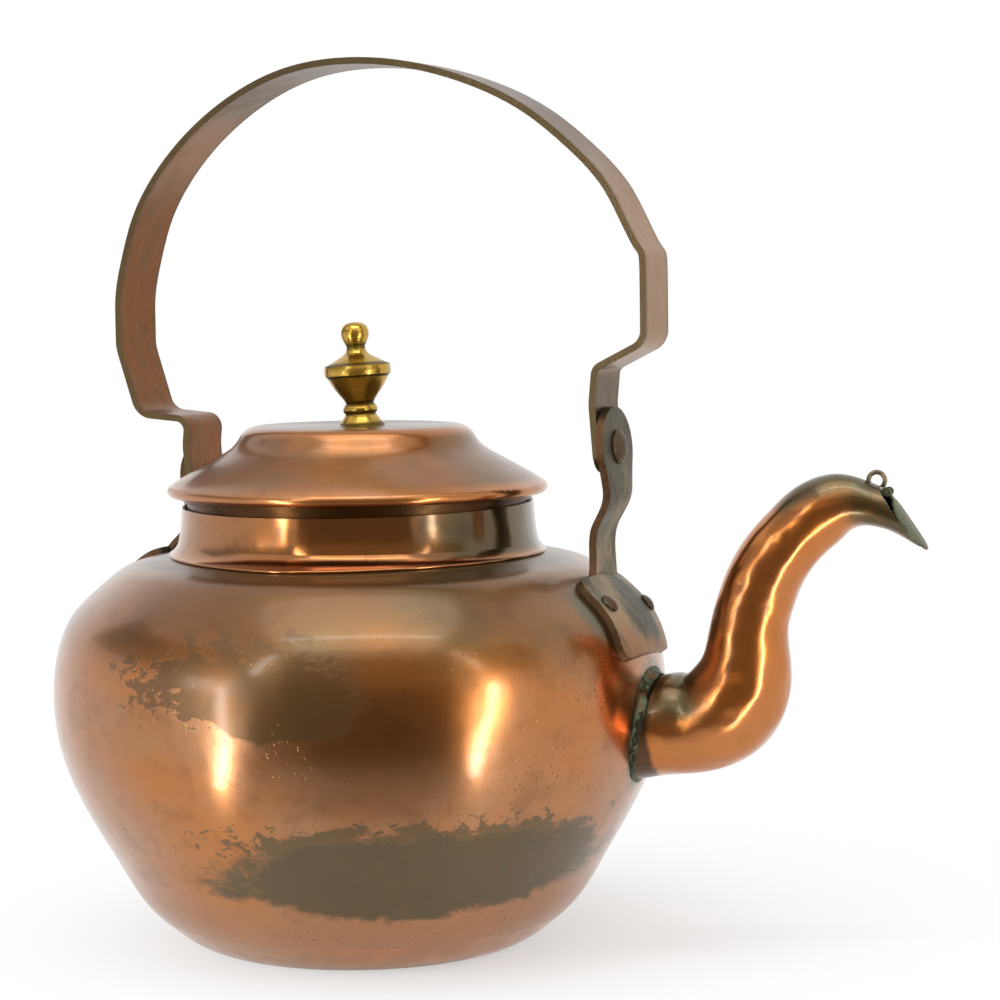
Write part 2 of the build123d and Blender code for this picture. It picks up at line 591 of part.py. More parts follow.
def ear_plate(side):
    """The foot plate, beaten to the shoulder's double curve."""
    low, high = PLATE_WIDTH[side] / 2, (PLATE_WIDTH[side] - PLATE_FLARE) / 2
    corners = [(-2.5, high), (PLATE_LENGTH, low), (PLATE_LENGTH, -low), (-2.5, -high)]
    outline = make_face(Polyline(*corners, close=True))
    outline = fillet(outline.vertices(), 5)
    prism = plate_plane(side) * extrude(outline, 22, both=True)
    prism = on_bail_line(Pos(0, PLATE_SHIFT[side], 0) * prism)
    return prism & turned(vessel_region(PLATE_SHEET))


def ear(side):
    """One ear with its foot plate, pivot hole and rivet holes."""
    blade = on_bail_line(ear_blade(side))
    shape = blade + ear_plate(side) - turned(vessel_region(PLATE_BED))
    pivot = Rot(0, 90, 0) * Cylinder(PIVOT_RADIUS + RIVET_FIT, 20)
    return shape - on_pivot(side, pivot) - rivet_holes(side)


def ear_rivets(side):
    """The two rivets that hold an ear: domed outside, peened flat inside the vessel."""
    rivets = []
    for place in rivet_places(side):
        depth = PLATE_SHEET + SHEET + 2 * RIVET_LIFT
        rivet = domed(RIVET_HEAD_RADIUS, RIVET_HEAD_HEIGHT)
        rivet += Pos(0, 0, -depth / 2) * Cylinder(RIVET_RADIUS, depth)
        rivet += Pos(0, 0, -depth) * Rot(180, 0, 0) * domed(RIVET_TAIL_RADIUS, 0.9)
        rivets.append(on_bail_line(place * rivet))
    return Compound(children=[rivet.solid() for rivet in rivets])


def pivot_rivet(side):
    """The rivet that the bail swings on: a heavy domed head outside the ear, a low tail inside
    the strap."""
    tail = -(EAR_SHEET + STRAP_SHEET + 2 * STRAP_GAP)
    rivet = Rot(0, 90, 0) * domed(PIVOT_HEAD_RADIUS, PIVOT_HEAD_HEIGHT)
    rivet += Pos(tail / 2, 0, 0) * Rot(0, 90, 0) * Cylinder(PIVOT_RADIUS, -tail)
    rivet += Pos(tail, 0, 0) * Rot(0, -90, 0) * domed(PIVOT_TAIL_RADIUS, PIVOT_TAIL_HEIGHT)
    if side == REAR:
        rivet = mirror(rivet, about=Plane.YZ)
    return on_pivot(side, rivet)


def strap_leg(side):
    """Three points on the middle of the strap's leg, upwards: its end, the pivot, and where it
    has passed the ear's head. The leg is square to the pivot line."""
    inward = EAR_SHEET + STRAP_GAP + STRAP_SHEET / 2
    pivot = Vector(side * (REACH[side] - inward * cos(PIVOT_SLOPE)),
                   PIVOT_HEIGHT[side] - side * inward * sin(PIVOT_SLOPE))
    upright = Vector(-sin(PIVOT_SLOPE), cos(PIVOT_SLOPE))
    return (pivot - upright * STRAP_END, pivot,
            pivot + upright * (HEAD_RADIUS[side] + HEAD_CLEARANCE))


def strap_path():
    """Middle line of the bail's strap, from the end behind, over the top, to the end in front."""
    half = STRAP_SHEET / 2
    left, right = -BAIL_REAR + half, BAIL_FRONT - half
    rise = BAIL_TOP - half - BAIL_SPRING_HEIGHT
    arch = [(left, BAIL_SPRING_HEIGHT)]
    for out, up in REAR_ARCH_SHAPE:
        arch.append((BAIL_CROWN_AT + out * (left - BAIL_CROWN_AT), BAIL_SPRING_HEIGHT + up * rise))
    arch.append((BAIL_CROWN_AT, BAIL_SPRING_HEIGHT + rise))
    for out, up in reversed(FRONT_ARCH_SHAPE):
        arch.append((BAIL_CROWN_AT + out * (right - BAIL_CROWN_AT), BAIL_SPRING_HEIGHT + up * rise))
    arch.append((right, BAIL_SPRING_HEIGHT))
    rear_end, rear_pivot, rear_neck = strap_leg(REAR)
    front_end, front_pivot, front_neck = strap_leg(FRONT)
    rear_leg = FilletPolyline(rear_end, rear_neck, (rear_pivot.X, REAR_JOG_HEIGHT),
                              (left + REAR_LEG_LEAN, REAR_JOG_HEIGHT + REAR_JOG_RISE),
                              (left, BAIL_SPRING_HEIGHT - 14), (left, BAIL_SPRING_HEIGHT),
                              radius=(20, 4.5, 7.5, 16))
    front_leg = FilletPolyline((right, BAIL_SPRING_HEIGHT),
                               (right, FRONT_JOG_HEIGHT + FRONT_JOG_RISE),
                               (front_pivot.X, FRONT_JOG_HEIGHT), front_neck, front_end,
                               radius=(6.5, 4, 20))
    return rear_leg + Spline(*arch, tangents=[(0, 1), (0, -1)]) + front_leg


def strap_width(along):
    """Width of the strap at a place along the pivot line."""
    share = (along + BAIL_REAR) / (BAIL_FRONT + BAIL_REAR)
    return STRAP_REAR_WIDTH + share * (STRAP_FRONT_WIDTH - STRAP_REAR_WIDTH)


def bail_strap():
    """The flat strap of the bail: bent in its own plane, tapering along its length, with
    rounded ends."""
    strip = extrude(Plane.XZ * trace(strap_path(), STRAP_SHEET), STRAP_REAR_WIDTH, both=True)
    corners = [(-FAR, strap_width(-FAR) / 2), (FAR, strap_width(FAR) / 2),
               (FAR, -strap_width(FAR) / 2), (-FAR, -strap_width(-FAR) / 2)]
    strip &= extrude(make_face(Polyline(*corners, close=True)), FAR)
    outlines = []
    for side in (REAR, FRONT):
        low = PIVOT_HEIGHT[side] - STRAP_END
        width = strap_width(side * REACH[side])
        end = Pos(0, low + STRAP_CORNER) * Rectangle(width, 2 * STRAP_CORNER)
        end = fillet(end.vertices().group_by(Axis.Y)[0], STRAP_CORNER)
        face = end + Pos(0, low + STRAP_CORNER + FAR / 2) * Rectangle(2 * width, FAR)
        outlines.append(extrude(Plane.YZ * face, side * FAR))
    strip &= outlines[0] + outlines[1]
    pivots = Rot(0, 90, 0) * Cylinder(PIVOT_RADIUS + PIVOT_PLAY, FAR)
    return on_bail_line(strip) - on_pivot(FRONT, Pos(-FAR / 2, 0, 0) * pivots)


# ---- all pieces ----
os.makedirs("parts", exist_ok=True)

save("base_pan", base_pan())
save("body_shell", body_shell())
save("neck_collar", neck_collar())
save("spout_tube", spout_tube())
save("spout_ring", spout_ring())
save("flap_lugs", flap_lugs())
save("flap_pin", flap_pin())
save("spout_flap", spout_flap())
for name, side in (("front", FRONT), ("rear", REAR)):
    save(f"{name}_ear", ear(side))
    save(f"{name}_ear_rivets", ear_rivets(side))
    save(f"{name}_pivot_rivet", pivot_rivet(side))
save("bail_strap", bail_strap())
save("lid_shell", lid_shell())
save("lid_rim_wire", lid_rim_wire())
save("lid_flange", lid_flange())
save("lid_knob", lid_knob())
save("knob_washer", knob_washer())
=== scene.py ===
import math

import bpy
import numpy as np
from bpy.props import FloatProperty, FloatVectorProperty, PointerProperty
from mathutils import Matrix, Vector


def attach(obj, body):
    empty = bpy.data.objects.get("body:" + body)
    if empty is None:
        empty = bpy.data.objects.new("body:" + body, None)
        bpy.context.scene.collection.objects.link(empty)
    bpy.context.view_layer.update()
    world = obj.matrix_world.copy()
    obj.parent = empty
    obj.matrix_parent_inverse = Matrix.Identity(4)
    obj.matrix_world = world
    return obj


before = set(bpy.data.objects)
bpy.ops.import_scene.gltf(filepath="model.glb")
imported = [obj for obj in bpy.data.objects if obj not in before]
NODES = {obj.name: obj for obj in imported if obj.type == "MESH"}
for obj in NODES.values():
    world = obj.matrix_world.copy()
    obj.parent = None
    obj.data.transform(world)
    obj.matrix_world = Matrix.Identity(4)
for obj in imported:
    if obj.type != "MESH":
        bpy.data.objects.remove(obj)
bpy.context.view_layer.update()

bl_info = {
    "name": "Copper Water Kettle",
    "version": (1, 0, 0),
    "blender": (4, 5, 0),
    "location": "View3D > Sidebar > Kettle",
    "description": "Finishes and small details of a copper kettle with a swinging bail, "
                   "and its studio",
    "category": "Object",
}

# Lengths are in metres, and angles in radians round from the spout's side. The places down to
# the zones were read off the CAD, so they have to be read again if it changes.
# the neck collar's foot on the shoulder
COLLAR_AT = 0.0664                      # its outer radius
SEAM_Z = 0.1402                         # height of the shoulder there
SHOULDER_FALL = 0.203                   # fall of the shoulder for each step outwards
COLLAR_WALL = ((0.1402, 0.06660), (0.1415, 0.06600), (0.1435, 0.06520), (0.1455, 0.06457),
               (0.1475, 0.06420), (0.1495, 0.06390))    # (height, radius) up the collar
# the spout's root on the belly
SPOUT_Z = 0.0815                        # height of its middle
SPOUT_RADIUS = 0.0177
BELLY_AT = 0.11009                      # the belly's radius is this at BELLY_Z, and less by
BELLY_Z = 0.0904                        # BELLY_BEND for the square of the height from there
BELLY_BEND = 6.88
# the lid's flat top and the knob's foot on it
TOP_EDGE = 0.0395                       # radius of the flat top's rolled edge
KNOB_AT = (0.0017, 0.0, 0.1858)
KNOB_LEAN = (-0.06105, 0.0, 0.99813)    # the knob's own axis
# the bail's strap, upright
STRAP_ACROSS = (0.08716, 0.99619, 0.0)  # the way across its width
STRAP_ALONG = (0.99619, -0.08716, 0.0)  # the way from its rear pivot to its front one
STRAP_MIDDLE = 0.0135                   # how far across its middle line is
STRAP_HALF = 0.01185                    # half its width over the kettle's middle
STRAP_TAPER = 0.0085                    # fall of that half width for each step forwards

# zones of the finishes, from where each begins to where it is full
ZONES = {
    "vessel foot": (0.034, 0.020),      # heights
    "shoulder": (0.099, 0.122),
    "upper stains": (0.060, 0.080),
    "neck foot": (0.1432, 0.1412),
    "lid slope": (0.1650, 0.1680),
    "lid bead": (0.1648, 0.1632),
    "ear head": (0.160, 0.178),
    "bail crown": (0.262, 0.300),
    "bail bends": (0.214, 0.200),
    "under neck": (0.086, 0.072),       # distances out from the upright axis
    "lid top": (0.0375, 0.0345),
    "spout root": (0.137, 0.124),       # distances forwards
    "spout joint": (0.1140, 0.1115),
    "bail front": (0.080, 0.105),
    "off the back": (3.05, 2.40),       # angles to each side
}
FLANK_AT = -1.40                        # angle at which the shoulder is brownest

# stains on the vessel: angle, height, half width, half height, softness
# the first heat stain, at the front between the two side highlights, is a painted dark reflection;
# the second is heat tint
HEAT_AND_REFLECTION_STAINS = ((-1.14, 0.0820, 0.30, 0.0300, 0.80), (1.90, 0.0900, 0.50, 0.0300, 0.80))
SMOKE_STAINS = ((-1.44, 0.0995, 0.25, 0.0125, 0.15), (-0.92, 0.0400, 0.90, 0.0165, 0.18),
                (1.10, 0.0700, 0.60, 0.0200, 0.50), (2.35, 0.0460, 0.50, 0.0140, 0.40))
SPRAY_STAINS = ((-1.64, 0.1065, 0.46, 0.0175, 0.90), (-1.00, 0.0500, 0.92, 0.0120, 0.90))
PLATE_CRUST_AT = (0.097, -0.022, 0.123)  # green crust beside the front ear's plate
# the knob's grooves: height over its foot, and reach of the grime
KNOB_GROOVES = ((0.0002, 0.0009), (0.0042, 0.0007), (0.0079, 0.0009),
                (0.0175, 0.0005), (0.0219, 0.0006), (0.0284, 0.0012))
EAR_FEET = {"front_ear": 0.106, "rear_ear": 0.113}      # about where each ear's foot ends


def shade(red, green, blue):
    """A display colour from 0 to 255 as the linear numbers that a shader takes."""
    part = np.array((red, green, blue)) / 255.0
    line = np.where(part <= 0.04045, part / 12.92, ((part + 0.055) / 1.055) ** 2.4)
    return tuple(float(v) for v in line)


# ---- Shader workshop ----
class Wire:
    """A node's output in a Python expression: each operator adds the node that works it out."""

    def __init__(self, sheet, socket):
        self.sheet = sheet
        self.socket = socket

    def __add__(self, other):
        return self.sheet.math("ADD", self, other)

    def __radd__(self, other):
        return self.sheet.math("ADD", other, self)

    def __sub__(self, other):
        return self.sheet.math("SUBTRACT", self, other)

    def __rsub__(self, other):
        return self.sheet.math("SUBTRACT", other, self)

    def __mul__(self, other):
        return self.sheet.math("MULTIPLY", self, other)

    def __rmul__(self, other):
        return self.sheet.math("MULTIPLY", other, self)

    def __truediv__(self, other):
        return self.sheet.math("DIVIDE", self, other)

    def __pow__(self, other):
        return self.sheet.math("POWER", self, other)

    def __abs__(self):
        return self.sheet.math("ABSOLUTE", self)


class Sheet:
    """The node tree of one material or of the world, written out from Python."""

    def __init__(self, tree):
        self.tree = tree
        tree.nodes.clear()

    def node(self, kind, settings=None, sockets=None, out=0):
        """One node of a kind: its settings first, then its sockets' values or wires."""
        made = self.tree.nodes.new(kind)
        for key, value in (settings or {}).items():
            setattr(made, key, value)
        for key, value in (sockets or {}).items():
            socket = made.inputs[key]
            if isinstance(value, Wire):
                self.tree.links.new(value.socket, socket)
            elif socket.type == "RGBA" and len(value) == 3:
                socket.default_value = (*value, 1.0)
            else:
                socket.default_value = value
        return Wire(self, made.outputs[out]) if len(made.outputs) else None

    def math(self, operation, *terms):
        """A Math node, or a Vector Math node where a term is a vector."""
        wide = any(isinstance(t, Wire) and t.socket.type == "VECTOR" for t in terms)
        if not wide:
            return self.node("ShaderNodeMath", {"operation": operation}, dict(enumerate(terms)))
        triple = [t if isinstance(t, (Wire, tuple)) else (t, t, t) for t in terms]
        return self.node("ShaderNodeVectorMath", {"operation": operation},
                         dict(enumerate(triple)))

    def dot(self, first, second):
        return self.node("ShaderNodeVectorMath", {"operation": "DOT_PRODUCT"},
                         {0: first, 1: second}, 1)

    def length(self, vector):
        return self.node("ShaderNodeVectorMath", {"operation": "LENGTH"}, {0: vector}, 1)

    def reach(self, vector):
        """How far a place is from the kettle's upright axis."""
        return self.length(vector * (1.0, 1.0, 0.0))

    def larger(self, first, second):
        return self.math("MAXIMUM", first, second)

    def place(self):
        """Where the surface point is on the piece, in metres."""
        return self.node("ShaderNodeTexCoord", None, None, "Object")

    def facing(self):
        """Which way the surface faces, as the piece itself has it."""
        return self.node("ShaderNodeTexCoord", None, None, "Normal")

    def split(self, vector):
        """The x, y and z of a vector."""
        first = self.node("ShaderNodeSeparateXYZ", None, {0: vector})
        return [Wire(self, socket) for socket in first.socket.node.outputs]

    def stretch(self, vector, scale):
        return self.node("ShaderNodeMapping", None, {"Vector": vector, "Scale": scale})

    def step(self, value, low, high, start=0.0, end=1.0):
        """A smooth step of value: start at low, end at high, whichever is the larger."""
        if low > high:
            low, high, start, end = high, low, end, start
        return self.node("ShaderNodeMapRange", {"interpolation_type": "SMOOTHSTEP"},
                         {"Value": value, "From Min": low, "From Max": high,
                          "To Min": start, "To Max": end})

    def noise(self, vector, scale, detail=3.0, rough=0.5, warp=0.0):
        return self.node("ShaderNodeTexNoise", None,
                         {"Vector": vector, "Scale": scale, "Detail": detail,
                          "Roughness": rough, "Distortion": warp})

    def cells(self, vector, scale, feature="F1"):
        return self.node("ShaderNodeTexVoronoi", {"feature": feature},
                         {"Vector": vector, "Scale": scale})

    def mix(self, share, first, second):
        """Two colours mixed by share, from the first at 0 to the second at 1."""
        return self.node("ShaderNodeMix", {"data_type": "RGBA"},
                         {0: share, 6: first, 7: second}, 2)

    def bump(self, height, depth, strength):
        """The surface's normal over a height of up to depth metres."""
        return self.node("ShaderNodeBump", None,
                         {"Height": height, "Distance": depth, "Strength": strength})

    def surface(self, shader):
        self.node("ShaderNodeOutputMaterial", None, {"Surface": shader})


def finish(name, recipe, *inputs, **constants):
    """A material whose recipe makes the wires of a Principled surface from its inputs;
    constants go straight to its sockets."""
    material = bpy.data.materials.new(name)
    material.use_nodes = True
    sheet = Sheet(material.node_tree)
    sockets = recipe(sheet, *inputs)
    sockets.update(constants)
    sheet.surface(sheet.node("ShaderNodeBsdfPrincipled", None, sockets))
    return material


def put_on(material, *names):
    """Gives CAD nodes a material through their objects' slots."""
    for name in names:
        piece = NODES[name]
        if not piece.data.materials:
            piece.data.materials.append(material)
        for slot in piece.material_slots:
            slot.link = "OBJECT"
            slot.material = material


# ---- What a user would change ----
def tint(name, description, colour):
    return FloatVectorProperty(name=name, description=description, subtype="COLOR", size=3,
                               min=0.0, max=1.0, default=colour)


def distance(name, description, size):
    return FloatProperty(name=name, description=description, subtype="DISTANCE",
                         unit="LENGTH", min=0.0, precision=5, default=size)


def bearing(name, description, size, low=-math.pi):
    return FloatProperty(name=name, description=description, subtype="ANGLE",
                         unit="ROTATION", min=low, max=math.pi, default=size)


class KettleSeams(bpy.types.PropertyGroup):
    foot_edge: distance("Foot edge", "Radius of the neck's beaten foot", 0.0669)
    foot_tall: distance("Foot height", "How far up the collar the beaten foot starts", 0.0075)
    foot_thick: distance("Foot thickness", "Thickness of the beaten foot's edge", 0.0011)
    foot_spread: distance("Foot spread", "How much further the foot spreads at most", 0.0050)
    foot_at: bearing("Spread angle", "Where round the neck the foot spreads most", -1.50)
    foot_span: bearing("Spread width", "How far to each side of there the spread goes",
                       0.70, 0.05)
    solder_wide: distance("Solder width", "Reach of the solder out over the belly", 0.0030)
    solder_tall: distance("Solder height", "Reach of the solder up the spout", 0.0026)


class KettleCopper(bpy.types.PropertyGroup):
    bright: tint("Rubbed copper", "Copper where hands and cloths keep it bright",
                 shade(183, 116, 60))
    rose: tint("Rose copper", "Pinkish copper of the matt zones", shade(170, 120, 82))
    brown: tint("Brown copper", "Copper browned by heat", shade(112, 70, 31))
    smoke: tint("Smoke stain", "Olive stain left by smoke and water", shade(80, 71, 44))
    orange: tint("Orange copper", "Deep orange copper of the spout", shade(198, 116, 48))
    soot: tint("Soot", "Black of old steam and polish in the joints", shade(34, 27, 16))
    verdigris: tint("Verdigris", "Green crust beside the joints", shade(86, 98, 74))
    gloss: FloatProperty(name="Roughness", description="Roughness of the rubbed copper",
                         subtype="FACTOR", min=0.05, max=1.0, default=0.27)


class KettleIronwork(bpy.types.PropertyGroup):
    ear: tint("Ears", "Grey-brown patina of the ears", shade(150, 132, 104))
    edge: tint("Cut edges", "Reddish brown of the sheet's cut edges", shade(92, 64, 42))
    strap: tint("Bail face", "Copper brown of the bail's broad faces", shade(124, 76, 38))
    pale: tint("Bail front", "Paler tan of the bail's front leg", shade(176, 144, 112))
    strap_edge: tint("Bail edge", "Dark olive of the bail's edges", shade(84, 72, 48))
    rivet: tint("Rivets", "Dark heads of the rivets", shade(78, 72, 56))


class KettleBrass(bpy.types.PropertyGroup):
    bright: tint("Polished brass", "Brass of the knob", shade(190, 154, 70))
    grime: tint("Grime", "Dark olive in the knob's grooves", shade(62, 52, 20))
    gloss: FloatProperty(name="Roughness", description="Roughness of the polished brass",
                         subtype="FACTOR", min=0.05, max=1.0, default=0.16)


class KettleStudio(bpy.types.PropertyGroup):
    room: FloatProperty(name="Room light", description="Brightness of the room round the kettle",
                        min=0.0, max=1.0, default=0.80)
    side: FloatProperty(name="Side lamps", description="Power of each lamp at the side",
                        subtype="POWER", unit="POWER", min=0.0, default=5.0)
    top: FloatProperty(name="Top lamp", description="Power of the wide lamp overhead",
                       subtype="POWER", unit="POWER", min=0.0, default=5.5)
    card: FloatProperty(name="Dark card", description="Brightness of the card round the camera",
                        min=0.0, max=1.0, default=0.26)
    strip: FloatProperty(name="Bright strips", description="Brightness of the narrow bright cards",
                         min=0.0, default=19.0)
    warm: tint("Card colour", "Warm paper of the card round the camera", (1.0, 0.82, 0.55))
    floor: tint("Floor", "Pale floor under the kettle", (0.86, 0.86, 0.86))
    lens: FloatProperty(name="Lens", description="Focal length of the camera, in millimetres",
                        min=10.0, max=400.0, default=100.97)


# a thin film of old polish over the copper, and the drag of a cloth round a turned surface
FILM = {"Coat Weight": 0.5, "Coat Roughness": 0.14}
TURNED = {"Anisotropic": 0.7, "Anisotropic Rotation": 0.25}

GROUPS = {"kettle_seams": KettleSeams, "kettle_copper": KettleCopper,
          "kettle_ironwork": KettleIronwork, "kettle_brass": KettleBrass,
          "kettle_studio": KettleStudio}


# ---- Copper ----
def copper_ground(sheet, place, copper, shift=0.0, drag=1.0):
    """Copper that has been used and rubbed for years: clouds from bright to rose and brown,
    a fine mottle, and hair scratches that run round the vessel, as strong as drag. The shift
    moves the pattern, so that two pieces don't match. Gives colour, roughness, the height of
    its dents, the mottle and the scratches."""
    moved = place + (shift, shift * 0.37, shift * 1.31)
    clouds = sheet.noise(moved, 16.0, 4.0, 0.55, 0.4)
    mottle = sheet.noise(moved, 85.0, 5.0, 0.62, 0.3)
    turned = sheet.noise(sheet.stretch(moved, (8.0, 8.0, 700.0)), 1.0, 3.0, 0.55)
    colour = sheet.mix(sheet.step(clouds, 0.38, 0.62), copper.bright, copper.rose)
    colour = sheet.mix(sheet.step(mottle, 0.46, 0.70) * 0.34, colour, copper.brown)
    colour = sheet.mix(sheet.step(turned, 0.50, 0.75) * (0.08 * drag), colour, copper.brown)
    rough = (copper.gloss + (clouds - 0.5) * 0.14 + (mottle - 0.5) * 0.16
             + (turned - 0.5) * (0.05 * drag))
    dents = sheet.noise(moved, 30.0, 2.0, 0.45)
    return colour, rough, dents, mottle, turned


def stained(sheet, mask, colour, rough, stain, stain_rough):
    """A colour and a roughness with a stain over them."""
    return sheet.mix(mask, colour, stain), rough + mask * (stain_rough - rough)


def stains(sheet, turn, z, ragged, spots):
    """Where any of some stains is: each is an ellipse in angle and height, with a ragged
    edge that is wider where its softness is larger."""
    mask = None
    for angle, height, wide, high, soft in spots:
        off = ((turn - angle) * (1.0 / wide)) ** 2.0 + ((z - height) * (1.0 / high)) ** 2.0
        one = sheet.step(off ** 0.5 + ragged, 1.0 + soft * 0.4, 1.0 - soft)
        mask = one if mask is None else sheet.larger(mask, one)
    return mask


def off_back(sheet, turn):
    """1 round the front and the sides and 0 at the back, where the angle jumps by a turn."""
    return sheet.step(abs(turn), *ZONES["off the back"])


def vessel_recipe(sheet, copper):
    """The vessel: rubbed copper with two smoke stains on its right side, others round the
    back, pits along their ragged edges, an olive shoulder and a matt rose foot."""
    place = sheet.place()
    x, y, z = sheet.split(place)
    turn = sheet.math("ARCTAN2", y, x)
    colour, rough, dents, mottle, turned = copper_ground(sheet, place, copper)
    ragged = sheet.noise(sheet.stretch(place, (1.0, 1.0, 1.8)), 42.0, 6.0, 0.68, 0.5) - 0.5
    specks = sheet.cells(place, 420.0)
    coarse = sheet.noise(place, 9.0, 2.0, 0.5)
    # matt rose foot and olive shoulder
    foot = sheet.step(z + ragged * 0.012, *ZONES["vessel foot"])
    colour, rough = stained(sheet, foot * 0.75, colour, rough, copper.rose, 0.42)
    shoulder = sheet.step(z + (coarse - 0.5) * 0.03, *ZONES["shoulder"])
    tan = sheet.mix(sheet.step(coarse, 0.34, 0.56), copper.brown, copper.smoke)
    flank = sheet.step(abs(turn - FLANK_AT), 0.50, 0.95)
    colour, rough = stained(sheet, shoulder * (0.84 - flank * 0.38), colour, rough, tan, 0.28)
    olive = shoulder * sheet.step(turn + ragged * 0.5, -1.35, -0.70) * off_back(sheet, turn)
    colour, rough = stained(sheet, olive * 0.08, colour, rough, copper.smoke, 0.34)
    dull = sheet.step(sheet.reach(place) + ragged * 0.006, *ZONES["under neck"])
    colour, rough = stained(sheet, dull * shoulder * 0.7, colour, rough, copper.smoke, 0.50)
    # heat tint, with a painted dark reflection at the front, smoke, and sprays of specks over the
    # smoke
    heat = stains(sheet, turn, z, ragged * 0.5, HEAT_AND_REFLECTION_STAINS)
    colour, rough = stained(sheet, heat * 0.75, colour, rough, copper.brown, 0.22)
    smoke = stains(sheet, turn, z, ragged * 1.1, SMOKE_STAINS)
    grit = sheet.noise(sheet.stretch(place, (1.0, 1.0, 1.6)), 125.0, 6.0, 0.72, 0.4)
    spray = stains(sheet, turn, z, ragged * 0.8, SPRAY_STAINS)
    speckle = sheet.step(grit + spray * 0.32, 0.65, 0.68) * sheet.step(spray, 0.02, 0.20)
    smoke = sheet.larger(smoke, speckle * 0.85)
    upper = sheet.step(z, *ZONES["upper stains"])
    stain = sheet.mix(sheet.step(mottle, 0.40, 0.70) * 0.3 + upper * 0.45,
                      copper.smoke, copper.brown)
    colour, rough = stained(sheet, smoke * 0.93, colour, rough, stain, 0.34)
    # green crust beside the front ear's plate and round the spout's root
    crust = sheet.step(sheet.length(place - PLATE_CRUST_AT) + ragged * 0.010, 0.016, 0.009)
    ring = sheet.length((place - (0.0, 0.0, SPOUT_Z)) * (0.0, 1.0, 1.0))
    crust = sheet.larger(crust, sheet.step(ring + ragged * 0.010, 0.0245, 0.0200)
                         * sheet.step(x, 0.06, 0.09))
    colour, rough = stained(sheet, crust * 0.7, colour, rough, copper.verdigris, 0.42)
    pits = sheet.step(specks, 0.24, 0.14) * sheet.step(ragged + coarse, 0.58, 0.68)
    colour = sheet.mix(pits * 0.7, colour, copper.brown)
    height = dents * 0.7 + mottle * 0.04 + turned * 0.008 - pits * 0.08 - smoke * 0.02
    return {"Base Color": colour, "Roughness": rough,
            "Metallic": 1.0 - smoke * 0.2,
            "Normal": sheet.bump(height, 0.0022, 0.55)}


def neck_recipe(sheet, copper):
    """The neck collar: smooth copper, darker brown round the front, olive to the right, rubbed
    along its foot."""
    place = sheet.place()
    x, y, z = sheet.split(place)
    turn = sheet.math("ARCTAN2", y, x)
    colour, rough, dents, mottle, _ = copper_ground(sheet, place, copper, shift=0.31, drag=0.3)
    coarse = sheet.noise(place, 22.0, 3.0, 0.6, 0.3)
    brown = sheet.step(turn + (coarse - 0.5) * 0.6, -1.80, -1.42)
    colour, rough = stained(sheet, 0.30 + brown * 0.3, colour, rough, copper.brown, 0.12)
    olive = sheet.step(turn + (coarse - 0.5) * 0.9, -0.88, -0.64) * off_back(sheet, turn)
    colour, rough = stained(sheet, olive * 0.85, colour, rough, copper.smoke, 0.24)
    streak = sheet.step(coarse, 0.50, 0.64) * olive
    colour = sheet.mix(streak * 0.6, colour, copper.soot)
    foot = sheet.step(z + (coarse - 0.5) * 0.003, *ZONES["neck foot"])
    colour, rough = stained(sheet, foot * 0.6, colour, rough, copper.bright, 0.18)
    height = dents + coarse * 0.5 + mottle * 0.04
    return {"Base Color": colour, "Roughness": rough * 0.85,
            "Normal": sheet.bump(height, 0.0018, 0.5)}


def pan_recipe(sheet, copper):
    """The base pan: rose copper, matt, blackened a little underneath."""
    place = sheet.place()
    z = sheet.split(place)[2]
    colour, rough, dents, mottle, _ = copper_ground(sheet, place, copper, shift=0.83)
    colour, rough = stained(sheet, sheet.step(mottle, 0.3, 0.6) * 0.6, colour, rough,
                            copper.rose, 0.42)
    soot = sheet.step(z, 0.0035, 0.0005) * sheet.step(mottle, 0.30, 0.62, 0.35, 1.0)
    colour, rough = stained(sheet, soot * 0.7, colour, rough, copper.smoke, 0.5)
    return {"Base Color": colour, "Roughness": rough,
            "Normal": sheet.bump(dents + mottle * 0.08, 0.0018, 0.5)}


def lid_recipe(sheet, copper):
    """The lid: satin copper browned over its slope, olive-stained on top, rubbed along the bead
    and round the top's edge, olive on the side by the spout."""
    place = sheet.place()
    x, y, z = sheet.split(place)
    turn = sheet.math("ARCTAN2", y, x)
    reach = sheet.reach(place)
    colour, rough, dents, mottle, turned = copper_ground(sheet, place, copper, shift=1.57,
                                                         drag=0.5)
    coarse = sheet.noise(place, 24.0, 4.0, 0.6, 0.3)
    slope = sheet.step(z, *ZONES["lid slope"]) * sheet.step(reach, 0.0300, 0.0430, 0.8, 1.0)
    tan = sheet.mix(sheet.step(coarse, 0.44, 0.60), copper.brown, copper.smoke)
    colour, rough = stained(sheet, slope * 0.40, colour, rough, tan, 0.34)
    olive = (sheet.step(turn + (coarse - 0.5) * 1.4, -1.0, -0.30) * slope
             * off_back(sheet, turn))
    colour, rough = stained(sheet, olive * 0.5, colour, rough, copper.smoke, 0.34)
    top = sheet.step(reach, *ZONES["lid top"])
    colour, rough = stained(sheet, top * 0.8, colour, rough, copper.smoke, 0.40)
    bright_band = sheet.step(abs(reach - TOP_EDGE), 0.0035, 0.0008) * sheet.step(z, 0.182, 0.184)
    bright_band = sheet.larger(bright_band, sheet.step(z, *ZONES["lid bead"]))
    colour, rough = stained(sheet, bright_band * 0.6, colour, rough, copper.bright, 0.22)
    height = dents * 0.8 + mottle * 0.04 + turned * 0.008
    return {"Base Color": colour, "Roughness": rough + 0.02,
            "Normal": sheet.bump(height, 0.0016, 0.45)}


def rim_recipe(sheet, copper):
    """The wired rim: rubbed bright, with grime in a few dents."""
    place = sheet.place()
    colour, rough, dents, mottle, _ = copper_ground(sheet, place, copper, shift=2.2)
    colour = sheet.mix(0.5, colour, copper.rose)
    return {"Base Color": colour, "Roughness": rough,
            "Normal": sheet.bump(dents + mottle * 0.1, 0.0012, 0.6)}


